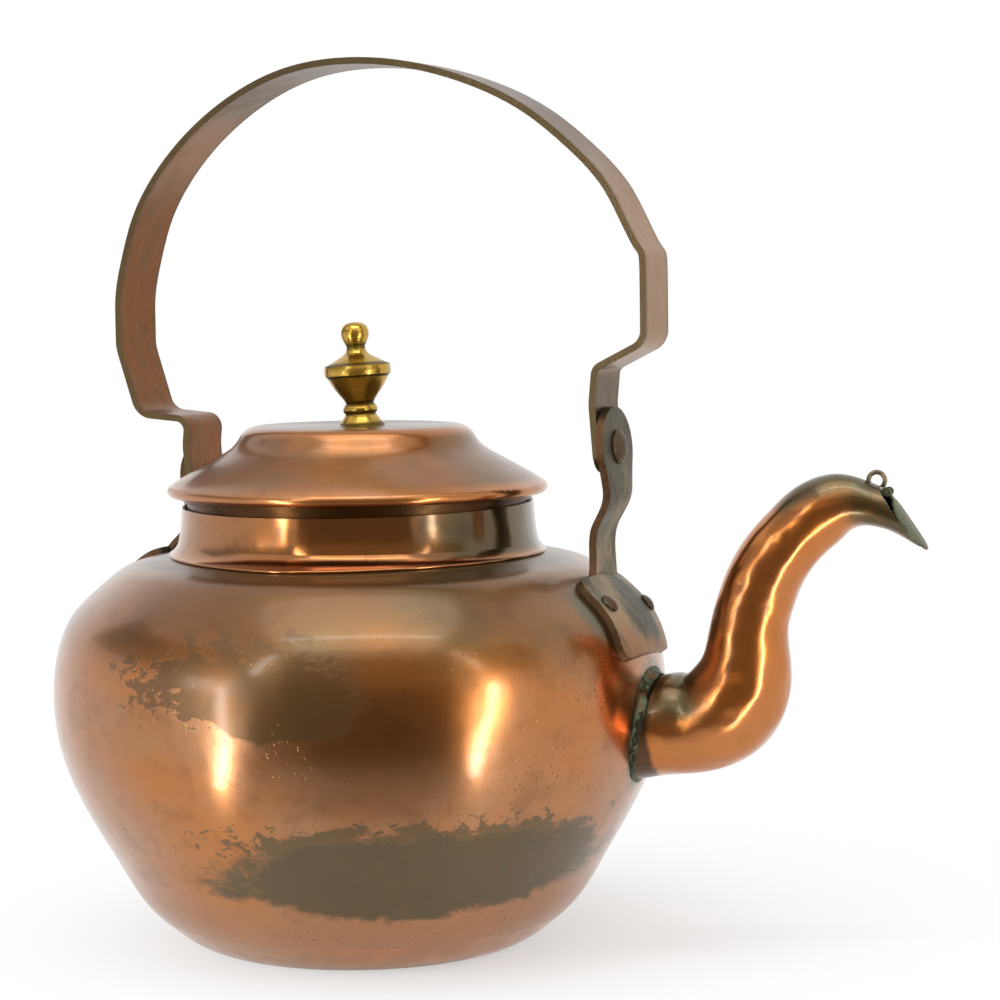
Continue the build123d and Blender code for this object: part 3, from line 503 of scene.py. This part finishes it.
def flange_soot_and_shade_recipe(sheet, copper):
    """The lid's flange: black with old steam and polish where it dips into the neck, and darkened
    further as painted shade for the gap under the lid's rim.
    """
    place = sheet.place()
    colour, rough, dents, mottle, _ = copper_ground(sheet, place, copper, shift=2.9)
    # painted shade: the soot over the whole flange also stands for the shadow in the gap under the
    # lid's rim
    colour, rough = stained(sheet, 0.75 + mottle * 0.25, colour, rough, copper.soot, 0.30)
    return {"Base Color": colour, "Roughness": rough,
            "Normal": sheet.bump(dents + mottle * 0.1, 0.0012, 0.6)}


def spout_recipe(sheet, copper):
    """The spout: bright orange copper, planished into soft facets, with olive crust on top of
    its root, along its back and over the beak."""
    place = sheet.place()
    x, _, z = sheet.split(place)
    colour, rough, dents, mottle, _ = copper_ground(sheet, place, copper, shift=4.1, drag=0.0)
    colour, rough = stained(sheet, 0.62, colour, rough, copper.orange, 0.17)
    coarse = sheet.noise(place, 34.0, 5.0, 0.62, 0.5) - 0.5
    up = sheet.split(sheet.facing())[2]
    root = (sheet.step(x + coarse * 0.030, *ZONES["spout root"])
            * sheet.step(z + coarse * 0.020, 0.080, 0.090))
    beak = sheet.step(x + z * 0.35 + coarse * 0.020, 0.232, 0.240)
    back = (sheet.step(x + coarse * 0.02, 0.150, 0.162)
            * sheet.step(up + coarse * 0.6, 0.30, 0.65))
    crust = (sheet.larger(sheet.larger(root, beak), back)
             * sheet.step(mottle, 0.28, 0.50, 0.7, 1.0))
    olive = sheet.mix(sheet.step(mottle, 0.48, 0.66) * 0.5, copper.smoke, copper.verdigris)
    colour, rough = stained(sheet, crust * 0.94, colour, rough, olive, 0.30)
    joint = sheet.step(x + coarse * 0.010, *ZONES["spout joint"])
    colour, rough = stained(sheet, joint * 0.85, colour, rough, copper.soot, 0.45)
    hammer = sheet.cells(place, 95.0, "SMOOTH_F1")
    height = dents * 1.4 + hammer * 0.9 + mottle * 0.06
    return {"Base Color": colour, "Roughness": rough,
            "Normal": sheet.bump(height, 0.0022, 0.6)}


def flap_recipe(sheet, copper):
    """The flap over the beak: green-grey crust, paler along its ridge with wear and a painted
    highlight.
    """
    place = sheet.place()
    y = sheet.split(place)[1]
    mottle = sheet.noise(place, 260.0, 5.0, 0.65, 0.5)
    colour = sheet.mix(sheet.step(mottle, 0.30, 0.56), copper.smoke, copper.verdigris)
    # painted highlight: the ridge is made paler and more metallic as if catching the light, as
    # well as worn
    bright_band = sheet.step(abs(y), 0.0022, 0.0004) * sheet.step(mottle, 0.35, 0.65, 0.5, 1.0)
    colour = sheet.mix(bright_band * 0.5, colour, copper.rose)
    return {"Base Color": colour, "Roughness": 0.34 + mottle * 0.2,
            "Metallic": 0.75 + bright_band * 0.25,
            "Normal": sheet.bump(mottle, 0.0006, 0.8)}


# ---- Ears, bail, knob and small metalwork ----
def ear_recipe(sheet, ironwork, copper, foot):
    """An ear: grey-brown sheet with darker clouds, dark red-brown cut edges, rose copper
    rubbed free towards its foot, and green crust round the fold."""
    place = sheet.place()
    z = sheet.split(place)[2]
    mottle = sheet.noise(place, 120.0, 6.0, 0.66, 0.4)
    clouds = sheet.noise(sheet.stretch(place, (1.0, 1.0, 0.5)), 46.0, 4.0, 0.6, 0.4)
    across = abs(sheet.split(sheet.facing())[1])
    edge = sheet.step(across + (mottle - 0.5) * 0.4, 0.50, 0.80)
    colour = sheet.mix(sheet.step(clouds, 0.36, 0.62), ironwork.ear, ironwork.rivet)
    head = sheet.step(z + (clouds - 0.5) * 0.03, *ZONES["ear head"])
    colour = sheet.mix(head * 0.85, colour, ironwork.rivet)
    rubbed = sheet.step(clouds, 0.48, 0.34) * sheet.step(z, 0.172, 0.150)
    colour = sheet.mix(rubbed * 0.35, colour, copper.rose)
    low = sheet.step(z + (clouds - 0.5) * 0.03, foot + 0.012, foot + 0.001)
    colour = sheet.mix(low * 0.6, colour, copper.rose)
    colour = sheet.mix(edge * 0.85, colour, ironwork.edge)
    crust = sheet.step(mottle, 0.54, 0.66) * sheet.step(z, 0.150, 0.128) * (1.0 - low)
    colour = sheet.mix(crust * 0.5, colour, copper.verdigris)
    return {"Base Color": colour, "Roughness": 0.34 + mottle * 0.24,
            "Metallic": 0.9 - crust * 0.4,
            "Normal": sheet.bump(mottle + clouds * 1.5, 0.0010, 0.7)}


def rivet_recipe(sheet, ironwork):
    """Rivet heads: dark, struck flat here and there, rubbed on their crowns."""
    place = sheet.place()
    mottle = sheet.noise(place, 330.0, 5.0, 0.6, 0.3)
    blows = sheet.cells(place, 520.0)
    colour = sheet.mix(sheet.step(mottle, 0.40, 0.66), ironwork.rivet, ironwork.edge)
    return {"Base Color": colour, "Roughness": 0.32 + mottle * 0.2,
            "Metallic": 0.9,
            "Normal": sheet.bump(blows + mottle * 0.5, 0.0005, 0.7)}


def strap_recipe(sheet, ironwork, copper):
    """The bail: brown copper rubbed by hands along its faces, dark olive edges and lower
    legs, and a rosy heat tint over the shoulder at the back."""
    place = sheet.place()
    z = sheet.split(place)[2]
    across = sheet.dot(place, STRAP_ACROSS) - STRAP_MIDDLE
    along = sheet.dot(place, STRAP_ALONG)
    half = STRAP_HALF - along * STRAP_TAPER
    side = abs(sheet.dot(sheet.facing(), STRAP_ACROSS))
    mottle = sheet.noise(place, 110.0, 6.0, 0.65, 0.4)
    clouds = sheet.noise(place, 24.0, 4.0, 0.6, 0.3)
    edge = sheet.step(abs(across) - half + (mottle - 0.5) * 0.003, -0.0026, -0.0002)
    edge = sheet.larger(edge * 0.55, sheet.step(side, 0.5, 0.8))
    colour = sheet.mix(sheet.step(clouds, 0.40, 0.64) * 0.6, ironwork.strap, copper.brown)
    colour = sheet.mix(sheet.step(mottle, 0.50, 0.70) * 0.4, colour, ironwork.strap_edge)
    crown = sheet.step(z + (clouds - 0.5) * 0.06, *ZONES["bail crown"])
    colour = sheet.mix(crown * 0.65, colour, ironwork.strap_edge)
    tinted = crown * sheet.step(along, -0.035, -0.060) * sheet.step(z, 0.305, 0.290)
    colour = sheet.mix(tinted * 0.5, colour, copper.rose)
    front = sheet.step(along + (clouds - 0.5) * 0.03, *ZONES["bail front"])
    colour = sheet.mix(front * 0.6, colour, ironwork.pale)
    bends = (sheet.step(z + (clouds - 0.5) * 0.02, *ZONES["bail bends"])
             * sheet.step(along, 0.0, 0.03))
    colour = sheet.mix(bends * 0.75, colour, ironwork.rivet)
    colour = sheet.mix(edge * 0.85, colour, ironwork.strap_edge)
    height = clouds * 1.4 + mottle * 0.2
    return {"Base Color": colour, "Roughness": 0.25 + mottle * 0.14 + edge * 0.08,
            "Metallic": 1.0 - edge * 0.15,
            "Normal": sheet.bump(height, 0.0014, 0.6)}


def knob_recipe(sheet, brass):
    """The turned knob: polished brass with grime in its grooves."""
    place = sheet.place() - KNOB_AT
    up = sheet.dot(place, KNOB_LEAN)
    grime = None
    for height, reach in KNOB_GROOVES:
        one = sheet.step(abs(up - height), reach * 1.6, reach * 0.3)
        grime = one if grime is None else sheet.larger(grime, one)
    mottle = sheet.noise(place, 210.0, 5.0, 0.6, 0.3)
    rings = sheet.noise(sheet.stretch(place, (30.0, 30.0, 2600.0)), 1.0, 2.0, 0.5)
    grime = sheet.larger(grime, sheet.step(mottle, 0.58, 0.72) * 0.5)
    colour = sheet.mix(grime * 0.85, brass.bright, brass.grime)
    return {"Base Color": colour, "Roughness": brass.gloss + grime * 0.25 + mottle * 0.08,
            "Metallic": 1.0,
            "Normal": sheet.bump(rings * 0.4 + mottle, 0.0004, 0.5)}


def wire_recipe(sheet, ironwork):
    """Dull grey wire and washer."""
    place = sheet.place()
    mottle = sheet.noise(place, 420.0, 4.0, 0.6, 0.3)
    colour = sheet.mix(sheet.step(mottle, 0.36, 0.66), ironwork.rivet, ironwork.ear)
    return {"Base Color": colour, "Roughness": 0.34 + mottle * 0.2,
            "Metallic": 0.9,
            "Normal": sheet.bump(mottle, 0.0003, 0.7)}


# ---- Solder and seams ----
EDGE_WAVER = 0.0005                     # unevenness of the beaten foot's edge
LIFT_WAVER = 0.0003                     # and of its thickness
SOLDER_WAVER = 0.0006                   # unevenness of the solder


def grid_mesh(name, points, material, wrap=False, close=False):
    """A mesh of quads on a grid of points, rows by columns; wrap joins each row's ends, and
    close takes the last row as the first again."""
    rows, columns = points.shape[:2]
    index = np.arange(rows * columns).reshape(rows, columns)
    if close:
        points, index = points[:-1], np.concatenate((index[:-1], index[:1]))
    if wrap:
        index = np.hstack((index, index[:, :1]))
    quads = np.stack((index[:-1, :-1], index[:-1, 1:], index[1:, 1:], index[1:, :-1]), axis=-1)
    mesh = bpy.data.meshes.new(name)
    mesh.from_pydata(points.reshape(-1, 3).tolist(), [], quads.reshape(-1, 4).tolist())
    mesh.shade_smooth()
    mesh.materials.append(material)
    piece = bpy.data.objects.new(name, mesh)
    bpy.context.scene.collection.objects.link(piece)
    return piece


def ring_mesh(name, points, material):
    """A closed ring of quads: rows go round the ring, columns round its section, and both
    join up."""
    return grid_mesh(name, np.concatenate((points, points[:1])), material, wrap=True, close=True)


def ripple(turn, seed, waves=(2, 3, 5, 7, 11, 17)):
    """A smooth random waver between about -1 and 1 round a closed ring: a sum of sines of
    whole numbers of waves, with fixed random phases and smaller steps for more waves."""
    phase = np.random.default_rng(seed).uniform(0.0, 2.0 * np.pi, len(waves))
    total = sum(np.sin(count * turn + shift) / count ** 0.7
                for count, shift in zip(waves, phase))
    return total / 1.6


def neck_foot(material, seams):
    """The beaten foot of the neck, dressed down over the shoulder by hand: for each angle its
    section runs down the collar, flares out to a wavering edge, and returns under itself; the
    edge spreads furthest where the collar was dressed hardest."""
    turn = np.linspace(-np.pi, np.pi, 240, endpoint=False)
    part = np.linspace(0.0, 1.0, 14)
    away = np.angle(np.exp(1j * (turn - seams.foot_at)))
    edge = (seams.foot_edge + seams.foot_spread * np.exp(-(away / seams.foot_span) ** 2)
            + EDGE_WAVER * ripple(turn, 11))[:, None]
    lift = seams.foot_thick + LIFT_WAVER * ripple(turn, 12)[:, None]
    rest = SEAM_Z - SHOULDER_FALL * (edge - COLLAR_AT)
    skin = rest + lift + (SEAM_Z + seams.foot_tall - rest - lift) * (1.0 - part) ** 1.2
    # the section starts just inside the collar's wall
    wall = np.interp(skin, *np.transpose(COLLAR_WALL)) - 0.0001 - 0.0005 * (1.0 - part) ** 3
    fall = wall + (edge - wall[:, -1:]) * part ** 3.0
    lip = np.linspace(0.0, np.pi, 7)[1:-1]
    lip_out = edge + lift * 0.5 * np.sin(lip)
    lip_up = rest + lift * 0.5 * (1.0 + np.cos(lip))
    back = np.linspace(1.0, 0.0, 5)
    under_out = COLLAR_AT - 0.0006 + (edge - COLLAR_AT) * back
    under_up = SEAM_Z - SHOULDER_FALL * (under_out - COLLAR_AT) - 0.0002
    reach = np.concatenate((fall, lip_out, under_out), axis=1)
    height = np.concatenate((skin, lip_up, under_up), axis=1)
    points = np.stack((reach * np.cos(turn)[:, None], reach * np.sin(turn)[:, None], height),
                      axis=-1)
    piece = ring_mesh("neck_foot_seam", points, material)
    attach(piece, "kettle")


def spout_fillet(material, seams):
    """The solder round the spout's root: for each angle round the spout its section hollows
    from the tube down onto the belly, and returns just under both faces."""
    turn = np.linspace(0.0, 2.0 * np.pi, 160, endpoint=False)[:, None]
    part = np.linspace(0.0, 1.0, 10)[None, :]
    wide = seams.solder_wide + SOLDER_WAVER * ripple(turn, 21)
    tall = seams.solder_tall + SOLDER_WAVER * ripple(turn, 22)
    out = SPOUT_RADIUS + wide * part
    hollow = tall * (1.0 - part) ** 2.2 + 0.00025
    back = np.linspace(1.0, 0.0, 5)[None, :]
    under = SPOUT_RADIUS - 0.0004 + wide * back
    out = np.concatenate((out, under), axis=1)
    lift = np.concatenate((hollow, np.full_like(under, -0.0004)), axis=1)
    across, up = out * np.sin(turn), out * np.cos(turn)
    belly = BELLY_AT - BELLY_BEND * (up + SPOUT_Z - BELLY_Z) ** 2
    points = np.stack((np.sqrt(belly ** 2 - across ** 2) + lift, across, SPOUT_Z + up), axis=-1)
    piece = ring_mesh("spout_root_solder", points[:, ::-1], material)
    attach(piece, "kettle")


def solder_recipe(sheet, copper):
    """Old solder: nearly black, with green crust and rubbed copper showing through."""
    place = sheet.place()
    mottle = sheet.noise(place, 260.0, 5.0, 0.65, 0.5)
    coarse = sheet.noise(place, 90.0, 3.0, 0.6, 0.3)
    colour = sheet.mix(sheet.step(mottle, 0.42, 0.60), copper.soot, copper.verdigris)
    colour = sheet.mix(sheet.step(coarse, 0.52, 0.64) * 0.7, colour, copper.brown)
    return {"Base Color": colour, "Roughness": 0.36 + mottle * 0.25, "Metallic": 0.85,
            "Normal": sheet.bump(mottle + coarse, 0.0008, 0.8)}


# ---- Operators ----
class KettleStep:
    """What all the kettle's operators share."""
    bl_options = {"REGISTER", "UNDO"}


class KETTLE_OT_vessel(KettleStep, bpy.types.Operator):
    """Finish the vessel: wall, neck collar and base pan, with the collar's beaten foot"""
    bl_idname = "kettle.vessel"
    bl_label = "Vessel"

    def execute(self, context):
        copper = context.scene.kettle_copper
        put_on(finish("vessel_copper", vessel_recipe, copper, **FILM, **TURNED), "body_shell")
        neck = finish("neck_copper", neck_recipe, copper, **FILM, **TURNED, Metallic=1.0)
        put_on(neck, "neck_collar")
        neck_foot(neck, context.scene.kettle_seams)
        put_on(finish("pan_copper", pan_recipe, copper, **FILM, **TURNED, Metallic=1.0),
               "base_pan")
        return {"FINISHED"}


class KETTLE_OT_spout(KettleStep, bpy.types.Operator):
    """Finish the spout and the eye on its beak, with the solder round its root"""
    bl_idname = "kettle.spout"
    bl_label = "Spout"

    def execute(self, context):
        copper = context.scene.kettle_copper
        ironwork = context.scene.kettle_ironwork
        put_on(finish("spout_copper", spout_recipe, copper, **FILM, Metallic=1.0), "spout_tube")
        put_on(finish("eye_wire", wire_recipe, ironwork), "spout_ring")
        spout_fillet(finish("solder", solder_recipe, copper), context.scene.kettle_seams)
        return {"FINISHED"}


class KETTLE_OT_flap(KettleStep, bpy.types.Operator):
    """Finish the flap over the beak, its lugs and its pin"""
    bl_idname = "kettle.flap"
    bl_label = "Spout flap"

    def execute(self, context):
        copper = context.scene.kettle_copper
        ironwork = context.scene.kettle_ironwork
        put_on(finish("flap_crust", flap_recipe, copper), "spout_flap", "flap_lugs")
        put_on(finish("pin_wire", wire_recipe, ironwork), "flap_pin")
        return {"FINISHED"}


class KETTLE_OT_ears(KettleStep, bpy.types.Operator):
    """Finish the two ears with their rivets and pivots"""
    bl_idname = "kettle.ears"
    bl_label = "Ears"

    def execute(self, context):
        copper = context.scene.kettle_copper
        ironwork = context.scene.kettle_ironwork
        for name, foot in EAR_FEET.items():
            put_on(finish(name + "_patina", ear_recipe, ironwork, copper, foot), name)
        put_on(finish("rivet_heads", rivet_recipe, ironwork),
               "front_ear_rivets", "rear_ear_rivets", "front_pivot_rivet", "rear_pivot_rivet")
        return {"FINISHED"}


class KETTLE_OT_bail(KettleStep, bpy.types.Operator):
    """Finish the strap of the bail"""
    bl_idname = "kettle.bail"
    bl_label = "Bail"

    def execute(self, context):
        copper = context.scene.kettle_copper
        ironwork = context.scene.kettle_ironwork
        put_on(finish("bail_patina", strap_recipe, ironwork, copper), "bail_strap")
        return {"FINISHED"}


class KETTLE_OT_lid(KettleStep, bpy.types.Operator):
    """Finish the lid, its wired rim and its flange"""
    bl_idname = "kettle.lid"
    bl_label = "Lid"

    def execute(self, context):
        copper = context.scene.kettle_copper
        put_on(finish("lid_copper", lid_recipe, copper, **FILM, **TURNED, Metallic=1.0),
               "lid_shell")
        put_on(finish("rim_copper", rim_recipe, copper, **FILM, Metallic=1.0), "lid_rim_wire")
        put_on(finish("flange_soot_and_shade", flange_soot_and_shade_recipe, copper, Metallic=1.0), "lid_flange")
        return {"FINISHED"}


class KETTLE_OT_knob(KettleStep, bpy.types.Operator):
    """Finish the turned knob and its washer"""
    bl_idname = "kettle.knob"
    bl_label = "Knob"

    def execute(self, context):
        brass = context.scene.kettle_brass
        ironwork = context.scene.kettle_ironwork
        put_on(finish("knob_brass", knob_recipe, brass), "lid_knob")
        put_on(finish("washer_metal", wire_recipe, ironwork), "knob_washer")
        return {"FINISHED"}


# ---- Studio ----
CAMERA_AT = Vector((0.37323, -0.93829, 0.23318))
CAMERA_TURN = math.radians(-18.791)     # of the view from straight along +Y
CAMERA_DIP = math.radians(4.26)
CAMERA_ROLL = math.radians(-0.70)
FLOOR_REACH = 6.0
WHITE_FROM = 0.06                       # the floor fades to the plain background from here
WHITE_TO = 0.24                         # to here, from SHADOW_AT
SHADOW_SHARE = 0.48                     # of the floor's own light and shade at SHADOW_AT
SHADOW_AT = (0.060, 0.040, 0.0)
CARD_REACH = 0.50                       # how far off the cards stand
CARD_FADE_FROM = 0.15                   # a card's foot fades into the floor from here
CARD_FADE_TO = 0.36                     # to here
LAMP_AIM = (0.0, 0.0, 0.10)
# lamps: angle in degrees round from the spout, distance out, height, width and length
LAMPS = {"left_lamp": (-125.0, 1.6, 0.70, 0.60, 0.60),
         "right_lamp": (-15.0, 1.6, 0.90, 0.60, 0.60),
         "top_lamp": (-68.0, 0.35, 1.35, 1.1, 1.1),
         "top_strip": (-68.0, 0.42, 1.30, 0.95, 0.05)}
TOP_STRIP_SHARE = 0.30                  # the overhead strip's share of the top lamp's power
FOOT_GLOW = 0.8                         # brightness of the front card's foot
CORNER = (CARD_REACH, 0.001)            # where a low card turns up
HIGH = ((CARD_REACH, 0.24), (CARD_REACH, 0.50))
NARROW = ((CARD_REACH - 0.01, 0.28), (CARD_REACH - 0.01, 0.50))
# cards: middle angle, half spread and lean in degrees, and (distance out, height) upwards
CARDS = {"front_card": (-70.0, 35.0, 0.0, ((0.15, 0.001), CORNER, (CARD_REACH, 0.24))),
         "left_strip": (-113.5, 1.6, -4.0, ((0.20, 0.001), CORNER, (CARD_REACH, 0.20))),
         "right_strip": (-29.0, 1.7, 12.0, ((0.22, 0.001), CORNER, (CARD_REACH, 0.20))),
         "high_card": (-53.0, 52.0, 0.0, HIGH),
         "high_side": (-147.0, 42.0, 0.0, HIGH),
         "high_left_strip": (-104.0, 1.3, 3.0, NARROW),
         "high_right_strip": (-29.0, 1.0, -6.0, NARROW)}


def seen_directly(sheet):
    """1 for rays that see the background: from the camera, off metal or through glass."""
    path = sheet.node("ShaderNodeLightPath")
    rays = {socket.name: Wire(sheet, socket) for socket in path.socket.node.outputs}
    return sheet.larger(sheet.larger(rays["Is Camera Ray"], rays["Is Glossy Ray"]),
                        rays["Is Transmission Ray"])


def studio_world(studio):
    """A white room, of which the kettle gets only an even part as light."""
    world = bpy.data.worlds.new("studio_room")
    world.use_nodes = True
    bpy.context.scene.world = world
    sheet = Sheet(world.node_tree)
    lit = sheet.node("ShaderNodeBackground", None,
                     {"Color": (1.0, 1.0, 1.0), "Strength": studio.room})
    seen = sheet.node("ShaderNodeBackground", None, {"Color": (1.0, 1.0, 1.0), "Strength": 1.0})
    both = sheet.node("ShaderNodeMixShader", None, {0: seen_directly(sheet), 1: lit, 2: seen})
    sheet.node("ShaderNodeOutputWorld", None, {"Surface": both})


def studio_floor(studio):
    """A round pale floor: z = 0 on circles round the base. It keeps the kettle's shadow and
    fades to the plain background further out."""
    material = bpy.data.materials.new("studio_floor")
    material.use_nodes = True
    sheet = Sheet(material.node_tree)
    place = sheet.place()
    far = sheet.step(sheet.length(place - SHADOW_AT), WHITE_FROM, WHITE_TO,
                     1.0 - SHADOW_SHARE, 1.0)
    grain = sheet.noise(place, 240.0, 3.0, 0.5)
    colour = sheet.mix(grain * 0.03, tuple(studio.floor), (0.80, 0.80, 0.80))
    paper = sheet.node("ShaderNodeBsdfDiffuse", None, {"Color": colour})
    plain = sheet.node("ShaderNodeEmission", None, {"Color": (1.0, 1.0, 1.0), "Strength": 1.0})
    sheet.surface(sheet.node("ShaderNodeMixShader", None,
                             {0: far * seen_directly(sheet), 1: paper, 2: plain}))
    circle = np.linspace(0.0, 2.0 * np.pi, 64, endpoint=False)
    reach = np.geomspace(0.02, FLOOR_REACH, 24)[::-1]
    points = np.stack((reach[:, None] * np.cos(circle), reach[:, None] * np.sin(circle),
                       np.zeros((reach.size, circle.size))), axis=-1)
    middle = np.zeros((1, circle.size, 3))
    floor = grid_mesh("studio_floor", np.concatenate((points, middle)), material, wrap=True)


def area_lamp(name, power):
    """A soft rectangular lamp that shines from its place in the table at the kettle."""
    angle, reach, height, width, length = LAMPS[name]
    lamp = bpy.data.lights.new(name, "AREA")
    lamp.shape = "RECTANGLE"
    lamp.size = width
    lamp.size_y = length
    lamp.energy = power
    piece = bpy.data.objects.new(name, lamp)
    bpy.context.scene.collection.objects.link(piece)
    turn = math.radians(angle)
    spot = Vector((reach * math.cos(turn), reach * math.sin(turn), height))
    piece.location = spot
    piece.rotation_euler = (Vector(LAMP_AIM) - spot).to_track_quat("-Z", "Y").to_euler()
    piece.visible_camera = False


def studio_card(name, glow, colour=(1.0, 1.0, 1.0), faded=1.0):
    """A card that only shows in the metal: its outline turned about the upright axis, by its
    half spread to each side; lean turns its top further round than its foot. Its foot fades
    towards a plain grey, faded."""
    angle, spread, lean, profile = CARDS[name]
    material = bpy.data.materials.new(name)
    material.use_nodes = True
    sheet = Sheet(material.node_tree)
    near = sheet.step(sheet.length(sheet.place()), CARD_FADE_TO, CARD_FADE_FROM)
    sheet.surface(sheet.node("ShaderNodeEmission", None,
                             {"Color": sheet.mix(near, tuple(colour), (faded, faded, faded)),
                              "Strength": glow}))
    reach, height = np.array(profile).T
    share = np.linspace(0.0, len(profile) - 1.0, 17)
    reach = np.interp(share, np.arange(len(profile)), reach)[:, None]
    height = np.interp(share, np.arange(len(profile)), height)[:, None]
    across = np.linspace(angle - spread, angle + spread, 24)[None, :]
    turn = np.radians(across + lean * (share / share[-1] - 0.5)[:, None])
    points = np.stack(np.broadcast_arrays(reach * np.cos(turn), reach * np.sin(turn), height),
                      axis=-1)
    card = grid_mesh(name, points, material)
    for ray in ("camera", "diffuse", "shadow", "transmission"):
        setattr(card, "visible_" + ray, False)


def studio_camera(studio):
    """The camera: it looks along CAMERA_TURN and down by CAMERA_DIP, rolled a little."""
    camera = bpy.data.cameras.new("studio_camera")
    camera.sensor_width = 36.0
    camera.lens = studio.lens
    camera.clip_start = 0.02
    camera.clip_end = 50.0
    piece = bpy.data.objects.new("studio_camera", camera)
    bpy.context.scene.collection.objects.link(piece)
    ahead = Vector((math.sin(CAMERA_TURN) * math.cos(CAMERA_DIP),
                    math.cos(CAMERA_TURN) * math.cos(CAMERA_DIP), -math.sin(CAMERA_DIP)))
    level = ahead.cross(Vector((0.0, 0.0, 1.0))).normalized()
    upright = level.cross(ahead)
    right = level * math.cos(CAMERA_ROLL) + upright * math.sin(CAMERA_ROLL)
    up = upright * math.cos(CAMERA_ROLL) - level * math.sin(CAMERA_ROLL)
    turn = Matrix((right, up, -ahead)).transposed()
    piece.location = CAMERA_AT
    piece.rotation_euler = turn.to_euler()
    bpy.context.scene.camera = piece


class KETTLE_OT_studio(KettleStep, bpy.types.Operator):
    """Set up the pale floor, the soft lamps, the room and the camera"""
    bl_idname = "kettle.studio"
    bl_label = "Studio"

    def execute(self, context):
        studio = context.scene.kettle_studio
        context.scene.view_settings.view_transform = "Standard"
        studio_world(studio)
        studio_floor(studio)
        area_lamp("left_lamp", studio.side)
        area_lamp("right_lamp", studio.side)
        area_lamp("top_lamp", studio.top)
        area_lamp("top_strip", studio.top * TOP_STRIP_SHARE)
        studio_card("front_card", studio.card, studio.warm, FOOT_GLOW / studio.card)
        studio_card("left_strip", studio.strip)
        studio_card("right_strip", studio.strip)
        studio_card("high_card", studio.card * 1.8, studio.warm)
        studio_card("high_side", 0.40)
        studio_card("high_left_strip", studio.strip * 0.8)
        studio_card("high_right_strip", studio.strip * 0.45)
        studio_camera(studio)
        return {"FINISHED"}


class KETTLE_PT_make(bpy.types.Panel):
    """The kettle's making, one button for each group of pieces"""
    bl_idname = "KETTLE_PT_make"
    bl_label = "Copper Kettle"
    bl_space_type = "VIEW_3D"
    bl_region_type = "UI"
    bl_category = "Kettle"

    def draw(self, context):
        for step in STEPS:
            self.layout.operator(step.bl_idname)
        for group, kind in GROUPS.items():
            box = self.layout.box()
            for prop in kind.__annotations__:
                box.prop(getattr(context.scene, group), prop)


STEPS = (KETTLE_OT_vessel, KETTLE_OT_spout, KETTLE_OT_flap, KETTLE_OT_ears, KETTLE_OT_bail,
         KETTLE_OT_lid, KETTLE_OT_knob, KETTLE_OT_studio)
CLASSES = (*GROUPS.values(), *STEPS, KETTLE_PT_make)


def register():
    for kind in CLASSES:
        bpy.utils.register_class(kind)
    for group, kind in GROUPS.items():
        setattr(bpy.types.Scene, group, PointerProperty(type=kind))


def unregister():
    for group in GROUPS:
        delattr(bpy.types.Scene, group)
    for kind in reversed(CLASSES):
        bpy.utils.unregister_class(kind)


def main():
    register()
    for step in STEPS:
        name = step.bl_idname.split(".")[1]
        getattr(bpy.ops.kettle, name)()


if __name__ == "__main__":
    main()
